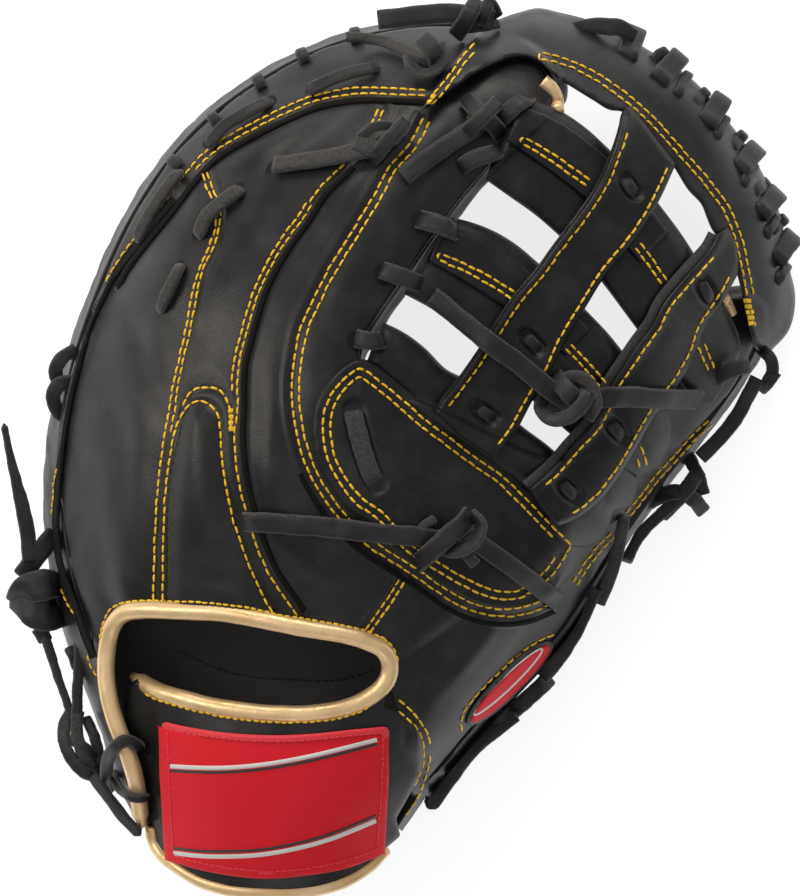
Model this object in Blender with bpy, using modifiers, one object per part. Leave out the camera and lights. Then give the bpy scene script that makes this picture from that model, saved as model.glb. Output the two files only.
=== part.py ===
import math

import bmesh
import bpy
import numpy as np
from mathutils import Matrix, Vector
from mathutils.geometry import delaunay_2d_cdt

# ---------------------------------------------------------------------------
# Driving sizes, in millimetres.
#
# The mitt lies palm down. x runs to the right across its back, y from the heel
# to the finger tips and z up from what it lies on. The tables below are read
# off the view of its back: u runs to the right and v towards the heel, in units
# of STEP, as seen from EYE above. place() turns such a reading and a height
# into millimetres.
# ---------------------------------------------------------------------------
STEP = 0.36  # one unit of u or v, at the height MID
EYE = 1600.0
MID = 60.0
U0, V0 = 400.0, 448.0
SHIFT = (-6.47, 1.22, 0.19)  # puts the origin under the middle of the mitt, its laces left out

LEATHER = 2.4  # wall of the back
PAD = 6.0  # padded palm
SIDE_WALL = 3.6
RIM = 16.0  # thickness of the padded edge beside the web
LACE_W, LACE_T = 6.2, 2.3  # flat rawhide lace


def place(u, v, z):
    u, v, z = np.broadcast_arrays(*(np.asarray(a, float) for a in (u, v, z)))
    k = STEP * (EYE - z) / (EYE - MID)
    return np.stack(
        [(u - U0) * k + SHIFT[0], (V0 - v) * k + SHIFT[1], z + SHIFT[2]], -1
    )


class Height:
    """A smooth height over u and v through a table of rows (u, v, z): a thin plate."""

    def __init__(self, rows, give=0.0):
        p = np.array(rows, float)
        self.c = p[:, :2] / 100.0
        n = len(p)
        a = np.zeros((n + 3, n + 3))
        a[:n, :n] = self._k(self.c, self.c) + give * np.eye(n)
        a[:n, n] = a[n, :n] = 1.0
        a[:n, n + 1 :] = self.c
        a[n + 1 :, :n] = self.c.T
        self.w = np.linalg.solve(a, np.concatenate([p[:, 2], np.zeros(3)]))

    @staticmethod
    def _k(a, b):
        d2 = ((a[:, None] - b[None]) ** 2).sum(2)
        return 0.5 * d2 * np.log(np.maximum(d2, 1e-12))

    def __call__(self, u, v):
        u, v = np.broadcast_arrays(np.asarray(u, float), np.asarray(v, float))
        q = np.stack([u.ravel(), v.ravel()], 1) / 100.0
        n = len(self.c)
        out = np.concatenate(
            [
                self._k(part, self.c) @ self.w[:n] + self.w[n] + part @ self.w[n + 1 :]
                for part in np.array_split(q, max(1, len(q) // 20000))
            ]
        )
        return out.reshape(u.shape)


# Height of the back of the mitt: columns u, v, z.
BACK_ROWS = [
    # finger tips
    (455, 14, 30), (405, 18, 29), (352, 28, 29), (500, 22, 33), (430, 50, 58), (370, 60, 53), (480, 45, 60), (530, 50, 57),
    (300, 46, 29), (320, 78, 50), (400, 95, 76), (460, 90, 77), (520, 90, 74), (568, 92, 66), (545, 62, 62),
    # outer edge of the fingers, top to heel
    (250, 74, 29), (205, 107, 29), (166, 148, 29), (134, 195, 29), (108, 245, 29), (88, 295, 29), (72, 340, 30),
    (60, 385, 30), (56, 435, 31), (58, 490, 33), (60, 540, 35), (68, 592, 40), (88, 640, 49), (104, 690, 54), (116, 740, 53),
    (130, 790, 48), (148, 829, 43),
    # across the fingers
    (250, 118, 56), (205, 160, 56), (165, 220, 57), (140, 280, 58), (122, 340, 59), (108, 400, 59), (102, 460, 60), (104, 520, 62), (116, 580, 66),
    (320, 150, 80), (265, 200, 80), (220, 260, 81), (195, 330, 82), (180, 400, 83), (172, 470, 83), (170, 540, 81), (175, 600, 77),
    (390, 160, 90), (340, 230, 94), (300, 310, 97), (275, 390, 99), (260, 470, 98), (255, 540, 94), (250, 608, 87),
    (440, 170, 88), (400, 240, 94), (360, 310, 98), (330, 380, 102), (325, 460, 102), (330, 540, 99), (330, 635, 90), (385, 665, 83),
    (505, 145, 80), (475, 185, 84), (445, 222, 88), (420, 262, 90), (396, 298, 92), (372, 334, 95), (358, 370, 97),
    # thumb
    (400, 400, 95), (450, 425, 89), (500, 450, 82), (550, 470, 74), (600, 470, 62), (640, 430, 53), (675, 385, 46), (705, 335, 42), (730, 300, 38),
    (400, 480, 97), (460, 500, 88), (520, 520, 77), (570, 530, 66), (620, 490, 52), (665, 440, 40), (705, 385, 33), (740, 335, 28),
    (415, 560, 93), (470, 575, 82), (530, 580, 67), (575, 570, 53), (625, 520, 37), (670, 465, 26), (710, 415, 20), (745, 362, 18), (766, 318, 20),
    (768, 340, 14), (728, 408, 14), (670, 482, 16), (617, 557, 20), (600, 585, 23),
    (400, 620, 89), (450, 640, 78), (500, 630, 66), (545, 620, 50), (580, 600, 33),
    (405, 690, 78), (440, 700, 69), (478, 690, 56), (510, 670, 45), (545, 655, 29), (515, 689, 28),
    (432, 750, 58), (460, 735, 45), (485, 720, 28), (430, 785, 44), (441, 771, 31), (404, 828, 38), (420, 800, 34),
]

# Depth from the back down to the face of the palm: columns u, v, depth.
DEPTH_ROWS = [
    (90, 450, 24), (200, 450, 34), (300, 450, 38), (350, 360, 20), (300, 550, 46), (270, 650, 60), (270, 760, 66), (270, 850, 56),
    (120, 330, 26), (250, 300, 33), (300, 200, 31), (180, 200, 24), (380, 100, 26), (300, 80, 22), (440, 55, 20), (500, 60, 18), (560, 90, 16),
    (480, 190, 16), (430, 262, 16), (385, 325, 16), (400, 400, 17), (480, 440, 16), (560, 470, 16), (640, 430, 16), (700, 340, 16),
    (450, 560, 34), (500, 620, 38), (420, 700, 60), (440, 770, 42), (150, 700, 50), (140, 800, 40), (600, 550, 26), (680, 450, 16), (740, 340, 14),
]

# Height of the wrist strap, which runs in under the heel's outer edge: columns u, v, z.
STRAP_ROWS = [
    (128, 676, 44), (160, 694, 60), (200, 706, 69), (250, 713, 75), (300, 715, 78), (350, 709, 79), (385, 695, 80), (415, 705, 77),
    (124, 740, 38), (160, 745, 57), (200, 750, 69), (270, 755, 76), (340, 750, 77), (390, 742, 72), (436, 745, 61),
    (136, 795, 36), (165, 800, 53), (200, 806, 64), (270, 810, 71), (340, 806, 70), (390, 798, 60), (428, 792, 48),
    (152, 842, 36), (180, 862, 48), (220, 876, 56), (270, 884, 60), (320, 880, 58), (360, 865, 52), (396, 838, 43),
]

# Height of the web, along the upper faces of its cross bars: columns u, v, z.
WEB_ROWS = [
    (560, 10, 33), (600, 25, 33), (640, 45, 33), (680, 72, 32), (716, 98, 30), (742, 135, 27), (765, 175, 25), (785, 222, 22), (795, 262, 19), (795, 290, 18),
    (500, 40, 57), (450, 75, 73), (425, 108, 79), (540, 50, 57), (590, 75, 56), (640, 105, 53), (685, 140, 49), (722, 185, 44), (748, 235, 38), (762, 290, 32), (766, 330, 26),
    (545, 85, 70), (515, 110, 79), (490, 150, 84), (462, 205, 89), (440, 235, 91), (400, 292, 94), (378, 322, 96),
    (600, 120, 69), (575, 170, 76), (545, 225, 82), (515, 280, 87), (480, 335, 90), (440, 385, 92), (380, 370, 97),
    (655, 165, 62), (635, 215, 70), (610, 270, 77), (580, 325, 82), (545, 380, 84), (505, 430, 85),
    (700, 215, 54), (685, 265, 63), (665, 320, 69), (635, 375, 72), (600, 425, 74), (560, 475, 76), (520, 460, 82),
    (735, 290, 45), (725, 335, 43), (700, 385, 46), (668, 430, 52), (640, 468, 55), (605, 505, 60), (745, 340, 36), (715, 398, 36), (680, 452, 40), (645, 495, 44),
]

BACK = Height(BACK_ROWS, 0.002)
DEPTH = Height(DEPTH_ROWS, 0.002)
STRAP = Height(STRAP_ROWS, 0.002)
WEB = Height(WEB_ROWS, 0.002)

# The edge of the mitt, from the outer end of the heel round the finger tips, down
# beside the web, out along the thumb and back to the inner end of the heel.
# Columns: u, v, how far in the back's own edge lies (units), height of the edge's
# foot (mm; WEB_SIDE where it hangs RIM below the back, beside the web).
WEB_SIDE = -1.0
EDGE_ROWS = [
    (141, 829, 8, 1.5), (121, 790, 10, 0.5), (104, 740, 14, 0), (86, 690, 19, 0), (67, 640, 22, 0), (54, 592, 20, 0), (46, 540, 18, 0), (44, 490, 15, 0),
    (48, 435, 11, 0), (58, 385, 8, 0), (72, 340, 6, 0), (88, 295, 6, 0), (108, 247, 6, 0), (134, 198, 6, 0), (166, 152, 6, 0), (205, 111, 6, 0),
    (250, 78, 6, 0), (300, 50, 6, 0), (352, 31, 6, 0), (405, 21, 6, 0), (455, 17, 6, 2), (500, 25, 8, 9), (535, 44, 9, 22), (559, 68, 9, 42),
    (568, 95, 9, WEB_SIDE), (548, 122, 9, WEB_SIDE), (515, 151, 9, WEB_SIDE), (482, 188, 9, WEB_SIDE), (453, 225, 9, WEB_SIDE), (428, 261, 9, WEB_SIDE),
    (402, 299, 9, WEB_SIDE), (377, 336, 9, WEB_SIDE), (364, 366, 9, WEB_SIDE), (385, 390, 9, WEB_SIDE), (425, 402, 9, WEB_SIDE), (470, 422, 9, WEB_SIDE),
    (515, 447, 9, WEB_SIDE), (560, 462, 9, WEB_SIDE), (605, 448, 9, WEB_SIDE), (643, 407, 9, WEB_SIDE), (676, 357, 9, WEB_SIDE), (704, 312, 9, WEB_SIDE),
    (732, 286, 9, 20), (760, 292, 8, 8), (770, 316, 6, 2), (766, 342, 6, 0), (750, 375, 6, 0), (727, 409, 6, 0), (699, 446, 6, 0), (670, 483, 6, 0),
    (643, 520, 6, 0), (617, 558, 6, 0), (592, 597, 6, 0), (568, 633, 6, 0), (545, 660, 6, 0), (515, 692, 6, 0), (487, 722, 6, 0), (463, 750, 6, 0),
    (441, 775, 6, 0), (421, 803, 6, 0.5), (402, 831, 6, 1.5),
]
# The open edge of the palm's heel, inner end to outer end: columns u, v, z.
HEEL_ROWS = [(375, 845), (340, 855), (300, 860), (260, 861), (215, 855), (175, 843)]

# The back's edge at the hand opening and the strap's seam, from the inner end of
# the heel to the outer one: columns u, v.
OPENING_ROWS = [
    (418, 806), (428, 785), (432, 755), (424, 728), (410, 708), (399, 693), (394, 680), (384, 666), (362, 652), (330, 640), (290, 630), (250, 622),
    (210, 618), (175, 617), (148, 621), (128, 633), (117, 648),
]
FOOT = 24.0  # how far in from the edge the palm's face begins, in units
FLAT = 13.0  # and where its flattened foot begins


def curve(rows, gap=None, count=None, closed=False):
    """Points on a smooth curve through the rows, about gap apart in their first two columns."""
    p = np.array(rows, float)
    n = len(p)
    q = (
        np.vstack([p[-1:], p, p[:2]])
        if closed
        else np.vstack([2 * p[0] - p[1], p, 2 * p[-1] - p[-2]])
    )
    t = np.linspace(0, 1, 13)[:-1, None]
    out = []
    for i in range(n if closed else n - 1):
        a, b, c, d = q[i : i + 4]
        # centripetal spacing keeps the curve from looping where rows lie close together
        k = [0.0]
        for x, y in ((a, b), (b, c), (c, d)):
            k.append(k[-1] + max(np.linalg.norm(y[:3] - x[:3]), 1e-6) ** 0.5)
        s = k[1] + (k[2] - k[1]) * t
        f = lambda x, y, i0, i1: ((k[i1] - s) * x + (s - k[i0]) * y) / (k[i1] - k[i0])
        a1, a2, a3 = f(a, b, 0, 1), f(b, c, 1, 2), f(c, d, 2, 3)
        b1, b2 = f(a1, a2, 0, 2), f(a2, a3, 1, 3)
        out.append(f(b1, b2, 1, 2))
    out.append(p[:1] if closed else p[-1:])
    fine = np.vstack(out)
    along = np.concatenate([[0], np.cumsum(np.linalg.norm(np.diff(fine[:, :2], axis=0), axis=1))])
    if fine.shape[1] > 2 and along[-1] == 0:
        along = np.linspace(0, 1, len(fine))
    if count is None:
        count = max(2, int(round(along[-1] / gap)) + 1)
    at = np.linspace(0, along[-1], count)
    res = np.stack([np.interp(at, along, fine[:, j]) for j in range(fine.shape[1])], 1)
    return res[:-1] if closed else res


def inward(line, closed=False):
    """Unit normals to the left of travel over u and v; the tables run clockwise, so these point inwards."""
    if closed:
        d = np.roll(line[:, :2], -1, 0) - np.roll(line[:, :2], 1, 0)
    else:
        d = np.gradient(line[:, :2], axis=0)
    d /= np.maximum(np.linalg.norm(d, axis=1, keepdims=True), 1e-9)
    return np.stack([-d[:, 1], d[:, 0]], 1)


def distance(u, v, line, closed=False):
    """Distance over u and v to a polyline."""
    p = np.stack([np.ravel(u), np.ravel(v)], 1)
    a = line[:, :2] if closed else line[:-1, :2]
    b = np.roll(line[:, :2], -1, 0) if closed else line[1:, :2]
    best = np.full(len(p), 1e9)
    for s, e in zip(a, b):
        d = e - s
        t = np.clip(((p - s) @ d) / max(d @ d, 1e-9), 0, 1)
        best = np.minimum(best, np.linalg.norm(p - s - t[:, None] * d, axis=1))
    return best.reshape(np.shape(u))


def within(u, v, ring):
    """True inside a closed ring."""
    u, v = np.asarray(u, float), np.asarray(v, float)
    x, y = ring[:, 0], ring[:, 1]
    inside = np.zeros(u.shape, bool)
    for i in range(len(ring)):
        j = i - 1
        if y[i] == y[j]:
            continue
        cross = (y[i] > v) != (y[j] > v)
        inside ^= cross & (u < (x[j] - x[i]) * (v - y[i]) / (y[j] - y[i]) + x[i])
    return inside


def fill(ring, gap, lines=()):
    """Triangles over u and v inside a closed ring: the ring's own points come first, then a staggered grid."""
    ring = np.asarray(ring, float)[:, :2]
    lo, hi = ring.min(0), ring.max(0)
    rows = []
    for j, y in enumerate(np.arange(lo[1], hi[1], gap * 0.866)):
        x = np.arange(lo[0] + (j % 2) * gap / 2, hi[0], gap)
        rows.append(np.stack([x, np.full(len(x), y)], 1))
    grid = np.vstack(rows)
    grid = grid[within(grid[:, 0], grid[:, 1], ring)]
    near = np.ones(len(grid), bool)
    cell = {}
    for p in ring:
        cell.setdefault((int(p[0] // gap), int(p[1] // gap)), []).append(p)
    for i, g in enumerate(grid):
        ci, cj = int(g[0] // gap), int(g[1] // gap)
        for a in (-1, 0, 1):
            for b in (-1, 0, 1):
                for p in cell.get((ci + a, cj + b), ()):
                    if (g[0] - p[0]) ** 2 + (g[1] - p[1]) ** 2 < (0.62 * gap) ** 2:
                        near[i] = False
    grid = grid[near]
    points = np.vstack([ring, grid])
    n = len(ring)
    got = delaunay_2d_cdt(
        [Vector(p) for p in points], [(i, (i + 1) % n) for i in range(n)], [], 1, 1e-6
    )
    verts = np.array([list(p) for p in got[0]], float)
    # keep the ring's own order: map the result back to the points that went in
    order = np.full(len(verts), -1)
    for i, ids in enumerate(got[3]):
        order[i] = ids[0] if ids else -1
    keep = [i for i in range(len(verts)) if order[i] >= 0]
    new = {i: order[i] for i in keep}
    faces = [tuple(new[i] for i in f) for f in got[2] if all(i in new for i in f)]
    a, b, c = (points[[f[k] for f in faces]] for k in range(3))
    turn = (b[:, 0] - a[:, 0]) * (c[:, 1] - a[:, 1]) - (b[:, 1] - a[:, 1]) * (c[:, 0] - a[:, 0])
    # u to the right and v down, so a clockwise face in u and v looks up in z
    faces = [f if t < 0 else f[::-1] for f, t in zip(faces, turn)]
    return points, faces


def lift(height, u, v, off):
    """Points off millimetres above a height table, along its own normal."""
    e = 1.0
    p = place(u, v, height(u, v))
    pu = place(u + e, v, height(u + e, v)) - place(u - e, v, height(u - e, v))
    pv = place(u, v - e, height(u, v - e)) - place(u, v + e, height(u, v + e))
    n = np.cross(pu, pv)
    n /= np.linalg.norm(n, axis=-1, keepdims=True)
    off = np.asarray(off, float)
    return p + n * (off[..., None] if off.ndim else off)


# ---------------------------------------------------------------------------
# Pieces
# ---------------------------------------------------------------------------
GAP = 0.5  # between pieces that lie on one another
TUBE = 2.7  # radius of the gold binding
BAR_T, POST_T, RIM_T, OVERLAY_T, PATCH_T = 3.6, 4.0, 6.5, 1.8, 1.5
CLEAR = 3.2  # kept above the back where the web's pieces lie over it

# Gold binding round the hand opening, from the outer end of the heel: columns u, v.
BINDING_ROWS = [
    (142, 822), (139, 795), (133, 763), (121, 730), (110, 695), (107, 660), (111, 630), (122, 614), (141, 610), (181, 611), (222, 613),
    (263, 621), (304, 629), (345, 635), (368, 641), (384, 650), (390, 664), (386, 682), (368, 697), (345, 706), (304, 712), (263, 711),
    (222, 706), (181, 697), (160, 690), (142, 682),
]
BINDING_UPPER = 19  # rows up to here lie on the back, the others on the strap
STRAP_EDGE_ROWS = [
    (376, 858), (352, 876), (326, 887), (293, 892), (263, 892), (230, 889), (199, 880), (179, 868), (165, 855),
]
# Strap: upper edge from its outer end, the seam over the back, then the lower edge.
STRAP_TOP_ROWS = [(146, 699), (164, 703), (190, 710), (222, 717), (263, 722), (304, 723), (345, 718), (374, 708), (392, 694)]
STRAP_END_ROWS = [(403, 696), (418, 708), (430, 722), (438, 742), (438, 764), (432, 786), (420, 806), (404, 826), (390, 838)]

PATCH_ROWS = [(161, 724), (217, 741), (268, 745), (319, 742), (387, 730), (384, 790), (381, 846), (332, 864), (268, 870), (204, 866), (168, 852), (165, 790)]
OVAL = (508, 682, 56, 15, -44.5)  # u, v, half length, half width, turn
SLEEVE_ROWS = [
    (360, 358), (340, 368), (320, 392), (311, 420), (312, 446), (318, 468), (332, 493), (349, 514), (372, 530), (396, 560), (426, 578),
    (452, 593), (484, 607), (500, 611), (518, 608), (550, 592), (580, 560), (590, 540), (560, 512), (536, 490), (510, 464), (480, 446),
    (452, 426), (428, 410), (402, 388), (380, 372),
]
INDEX_PAD_ROWS = [
    (163, 598), (159, 530), (162, 479), (174, 420), (180, 400), (192, 386), (210, 381), (226, 388), (238, 404), (238, 440), (242, 480),
    (250, 520), (262, 560), (280, 604), (262, 606), (215, 599),
]
WEB_RIM_OUT = [
    (428, 78), (470, 50), (505, 25), (520, 15), (540, 10), (560, 14), (590, 22), (642, 48), (692, 81), (727, 123), (755, 164), (777, 214),
    (787, 269), (792, 300), (788, 326), (770, 345),
]
WEB_RIM_IN = [
    (752, 348), (745, 325), (740, 298), (730, 268), (720, 238), (701, 208), (688, 192), (673, 168), (655, 145), (640, 127), (622, 114),
    (609, 112), (594, 101), (573, 88), (553, 76), (538, 64), (522, 60), (502, 65), (476, 80), (452, 96), (432, 110),
]
POST_A_ROWS = [
    (626, 122), (620, 134), (609, 158), (594, 191), (573, 221), (553, 247), (535, 272), (510, 302), (487, 338), (461, 376), (436, 410),
    (462, 436), (492, 455), (513, 433), (532, 402), (549, 375), (562, 347), (588, 303), (603, 279), (636, 238), (658, 202), (668, 172), (650, 145),
]
POST_B_ROWS = [
    (708, 246), (701, 252), (689, 264), (672, 283), (656, 303), (646, 323), (630, 346), (619, 362), (604, 385), (589, 417), (566, 443),
    (550, 463), (526, 484), (556, 520), (579, 514), (599, 500), (618, 476), (634, 450), (654, 416), (675, 390), (685, 375), (696, 354),
    (704, 328), (716, 304), (722, 284), (717, 264),
]
# Cross panels: columns u, v of the middle line, width in units.
BAR_A_ROWS = [(560, 170, 88), (600, 215, 94), (650, 268, 92), (693, 310, 72), (710, 324, 48), (718, 331, 24)]
BAR_B_ROWS = [(482, 280, 92), (530, 320, 94), (578, 364, 92), (630, 396, 80), (670, 410, 62), (692, 417, 30)]
BAR_C_ROWS = [(424, 372, 26), (470, 394, 40), (520, 424, 44), (560, 445, 40), (590, 452, 24)]

# Laces that lie on the leather: name, width in units, rows of u, v.
LACES = {
    "finger_lace_1": (13, [(315, 86), (342, 76), (370, 69)]),
    "finger_lace_2": (13, [(213, 139), (238, 119), (265, 103)]),
    "finger_lace_3": (13, [(139, 232), (157, 204), (176, 176)]),
    "finger_lace_4": (13, [(199, 231), (218, 210), (237, 190)]),
    "finger_lace_5": (13, [(163, 305), (170, 288), (178, 270)]),
    "sleeve_lace": (17, [(355, 416), (363, 440), (370, 462), (375, 481)]),
    "thumb_lace": (17, [(748, 372), (733, 396), (712, 424), (690, 446)]),
    "thumb_lace_b": (18, [(614, 528), (604, 552), (594, 580), (588, 594)]),
    "thumb_lace_c": (18, [(582, 606), (570, 625), (555, 648)]),
}
# Knots: u, v, length and width in units, turn in degrees, height in mm, z of the middle (-1: lies on what is below)
KNOTS = {
    "top_knot": (483, 20, 40, 30, -20, 8, 60),
    "tip_knot": (428, 60, 36, 30, -50, 7, -1),
    "panel_knot": (380, 146, 34, 28, -55, 7, -1),
    "web_knot_a": (480, 116, 34, 30, 40, 7, -1),
    "web_knot_b": (571, 400, 50, 44, -30, 8, -1),
    "sleeve_knot": (448, 540, 56, 42, 20, 8, -1),
    "heel_knot_a": (27, 582, 78, 27, 88, 9, 24),
    "heel_knot_b": (76, 746, 58, 30, 70, 9, 26),
    "thumb_knot_a": (736, 366, 24, 22, -60, 6, -1),
    "thumb_knot_b": (684, 486, 46, 30, -60, 7, -1),
}
# Free lace ends: width in units, rows of u, v, z (-1: lies on what is below).
TAILS = {
    "top_tail": (18, [(460, 12, 58), (440, 8, 57), (410, 9, 54), (380, 14, 51)]),
    "tip_tail": (18, [(410, 50, -1), (390, 44, -1), (368, 38, 46), (348, 34, 46)]),
    "panel_tail": (18, [(362, 150, -1), (345, 154, -1), (318, 158, -1), (292, 163, -1), (272, 168, -1)]),
    "web_tail_a": (18, [(464, 132, -1), (450, 142, -1), (428, 158, -1), (406, 174, -1)]),
    "web_tail_b": (18, [(545, 384, -1), (520, 365, -1), (490, 342, -1), (460, 318, -1), (436, 296, -1)]),
    "web_tail_c": (18, [(597, 398, -1), (630, 396, -1), (665, 397, -1), (698, 400, -1)]),
    "sleeve_tail_a": (19, [(420, 537, -1), (395, 536, -1), (350, 532, -1), (300, 526, -1), (250, 522, -1)]),
    "sleeve_tail_b": (18, [(478, 545, -1), (500, 558, -1), (528, 578, -1), (556, 598, -1)]),
    "heel_tail_a": (17, [(24, 536, 30), (20, 510, 34), (14, 482, 38), (10, 456, 40), (5, 425, 42)]),
    "heel_tail_b": (18, [(91, 781, 28), (104, 796, 33), (122, 818, 40), (138, 836, 44)]),
    "thumb_tail": (18, [(506, 728, 21), (488, 749, 17), (466, 772, 12), (444, 794, 9), (430, 808, 7)]),
}

for old in list(bpy.data.objects):
    bpy.data.objects.remove(old, do_unlink=True)
MITT = bpy.data.collections.new("mitt")
bpy.context.scene.collection.children.link(MITT)


def paint(name, rgb, rough, metal=0.0):
    m = bpy.data.materials.new(name)
    m.use_nodes = True
    b = m.node_tree.nodes["Principled BSDF"]
    b.inputs["Base Color"].default_value = (*rgb, 1)
    b.inputs["Roughness"].default_value = rough
    b.inputs["Metallic"].default_value = metal
    m.diffuse_color = (*rgb, 1)
    return m


LEATHER_MAT = paint("black_leather", (0.012, 0.012, 0.013), 0.45)
LACE_MAT = paint("black_lace", (0.016, 0.016, 0.017), 0.55)
GOLD_MAT = paint("gold_binding", (0.62, 0.40, 0.16), 0.38)
PATCH_MAT = paint("red_patch", (0.58, 0.02, 0.025), 0.6)

MADE = []


def add(name, verts, faces, mat, thick=None):
    used = sorted({int(i) for f in faces for i in f})
    new = {i: k for k, i in enumerate(used)}
    verts, faces = np.asarray(verts)[used], [[new[int(i)] for i in f] for f in faces]
    me = bpy.data.meshes.new(name)
    me.from_pydata([tuple(p) for p in np.asarray(verts) / 1000.0], [], [tuple(int(i) for i in f) for f in faces])
    if thick is None:
        bm = bmesh.new()
        bm.from_mesh(me)
        bmesh.ops.recalc_face_normals(bm, faces=bm.faces)
        bm.to_mesh(me)
        bm.free()
    me.materials.append(mat)
    ob = bpy.data.objects.new(name, me)
    MITT.objects.link(ob)
    if thick is not None:
        s = ob.modifiers.new("wall", "SOLIDIFY")
        s.thickness = thick / 1000.0
        s.offset = 1.0
        s.use_rim = True
    for p in me.polygons:
        p.use_smooth = True
    MADE.append(ob)
    return ob


class Below:
    """What lies under a point of the view, among the pieces made so far."""

    def __init__(self):
        self.trees = []
        self.seen = 0

    def _grow(self):
        from mathutils.bvhtree import BVHTree

        dg = bpy.context.evaluated_depsgraph_get()
        for ob in MADE[self.seen :]:
            me = bpy.data.meshes.new_from_object(ob.evaluated_get(dg))
            bm = bmesh.new()
            bm.from_mesh(me)
            self.trees.append(BVHTree.FromBMesh(bm))
            bm.free()
            bpy.data.meshes.remove(me)
        self.seen = len(MADE)

    def top(self, u, v):
        self._grow()
        a, b = (Vector(place(u, v, z)) / 1000.0 for z in (200.0, 0.0))
        best = 0.0
        for t in self.trees:
            hit = t.ray_cast(a, (b - a).normalized())[0]
            if hit is not None:
                best = max(best, hit.z * 1000.0 - SHIFT[2])
        return best


BELOW = Below()


def sheet(name, ring, height, low, thick, gap, mat):
    """An open surface low mm above a height, thickened upwards."""
    pts, faces = fill(ring, gap)
    v = lift(height, pts[:, 0], pts[:, 1], low) if isinstance(height, Height) else place(pts[:, 0], pts[:, 1], height(pts[:, 0], pts[:, 1]) + low)
    return add(name, v, faces, mat, thick)


def slab(name, ring, low, thick, gap, mat):
    """A closed body straight up from an underside."""
    pts, faces = fill(ring, gap)
    z, n, m = low(pts[:, 0], pts[:, 1]), len(pts), len(ring)
    verts = np.vstack([place(pts[:, 0], pts[:, 1], z), place(pts[:, 0], pts[:, 1], z + thick)])
    walls = [(i, (i + 1) % m, n + (i + 1) % m, n + i) for i in range(m)]
    return add(name, verts, faces + [tuple(n + i for i in f) for f in faces] + walls, mat)


def ribbon(name, path, width, thick, mat):
    """A flat lace along a path in mm: a loft of six-sided sections with closed ends."""
    p = np.asarray(path, float)
    t = np.gradient(p, axis=0)
    t /= np.linalg.norm(t, axis=1, keepdims=True)
    side = np.cross(t, [0, 0, 1.0])
    side /= np.linalg.norm(side, axis=1, keepdims=True)
    up = np.cross(side, t)
    w, h = width / 2, thick / 2
    sec = [(-w, 0), (-w + h, h), (w - h, h), (w, 0), (w - h, -h), (-w + h, -h)]
    verts = [p[i] + side[i] * a + up[i] * b for i in range(len(p)) for a, b in sec]
    faces = [
        (6 * i + j, 6 * i + (j + 1) % 6, 6 * i + 6 + (j + 1) % 6, 6 * i + 6 + j)
        for i in range(len(p) - 1)
        for j in range(6)
    ]
    faces += [tuple(range(6)), tuple(range(6 * len(p) - 6, 6 * len(p)))]
    return add(name, verts, faces, mat)


def tube(name, path, radius, mat):
    cu = bpy.data.curves.new(name, "CURVE")
    cu.dimensions = "3D"
    sp = cu.splines.new("POLY")
    sp.points.add(len(path) - 1)
    for q, p in zip(sp.points, path):
        q.co = (*(np.asarray(p) / 1000.0), 1)
    cu.bevel_depth = radius / 1000.0
    cu.bevel_resolution = 2
    cu.use_fill_caps = True
    cu.materials.append(mat)
    ob = bpy.data.objects.new(name, cu)
    MITT.objects.link(ob)
    w = ob.modifiers.new("weld", "WELD")
    w.merge_threshold = 0.0001
    MADE.append(ob)
    return ob


def rest_on(u, v, reach):
    """Greatest height below a patch of the view."""
    hi = 0.0
    for du in (-1, 0, 1):
        for dv in (-1, 0, 1):
            hi = max(hi, BELOW.top(u + du * reach, v + dv * reach))
    return hi


def taut(along, z):
    """The upper hull of heights along a lace, which spans hollows and does not sag into them."""
    hull = []
    for p in zip(along, z):
        while len(hull) > 1 and (hull[-1][1] - hull[-2][1]) * (p[0] - hull[-2][0]) <= (p[1] - hull[-2][1]) * (hull[-1][0] - hull[-2][0]):
            hull.pop()
        hull.append(p)
    return np.interp(along, [h[0] for h in hull], [h[1] for h in hull])


def laid(name, width, rows, mat, gap=11.0):
    """A flat lace through rows of u, v and z; z of -1 lays it on what is below."""
    r = np.array([(*row, -1.0)[:3] for row in rows], float)
    free = r[:, 2] < 0
    line = curve(r[:, :2], gap=gap)
    along = np.concatenate([[0], np.cumsum(np.linalg.norm(np.diff(line, axis=0), axis=1))])
    at = [along[np.argmin(((line - q[:2]) ** 2).sum(1))] for q in r]
    on = [rest_on(u, v, width / 2) for u, v in line]
    on = [max(on[max(0, i - 1) : i + 2]) + LACE_T / 2 + GAP for i in range(len(on))]
    z = np.array(on)
    z = taut(along, z)
    if not free.all():
        given = np.interp(along, [a for a, f in zip(at, free) if not f], r[~free, 2])
        last = [a for a, f in zip(at, free) if f]
        for i, s in enumerate(along):
            if not last or s > max(last) + 1:
                z[i] = max(given[i], z[i]) if z[i] > LACE_T / 2 + GAP + 1 and last else given[i]
    for _ in range(2):
        z = np.maximum(z, np.convolve(np.pad(z, 1, "edge"), [0.25, 0.5, 0.25], "valid"))
    return ribbon(name, place(line[:, 0], line[:, 1], z), width * STEP, LACE_T, mat)


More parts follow.
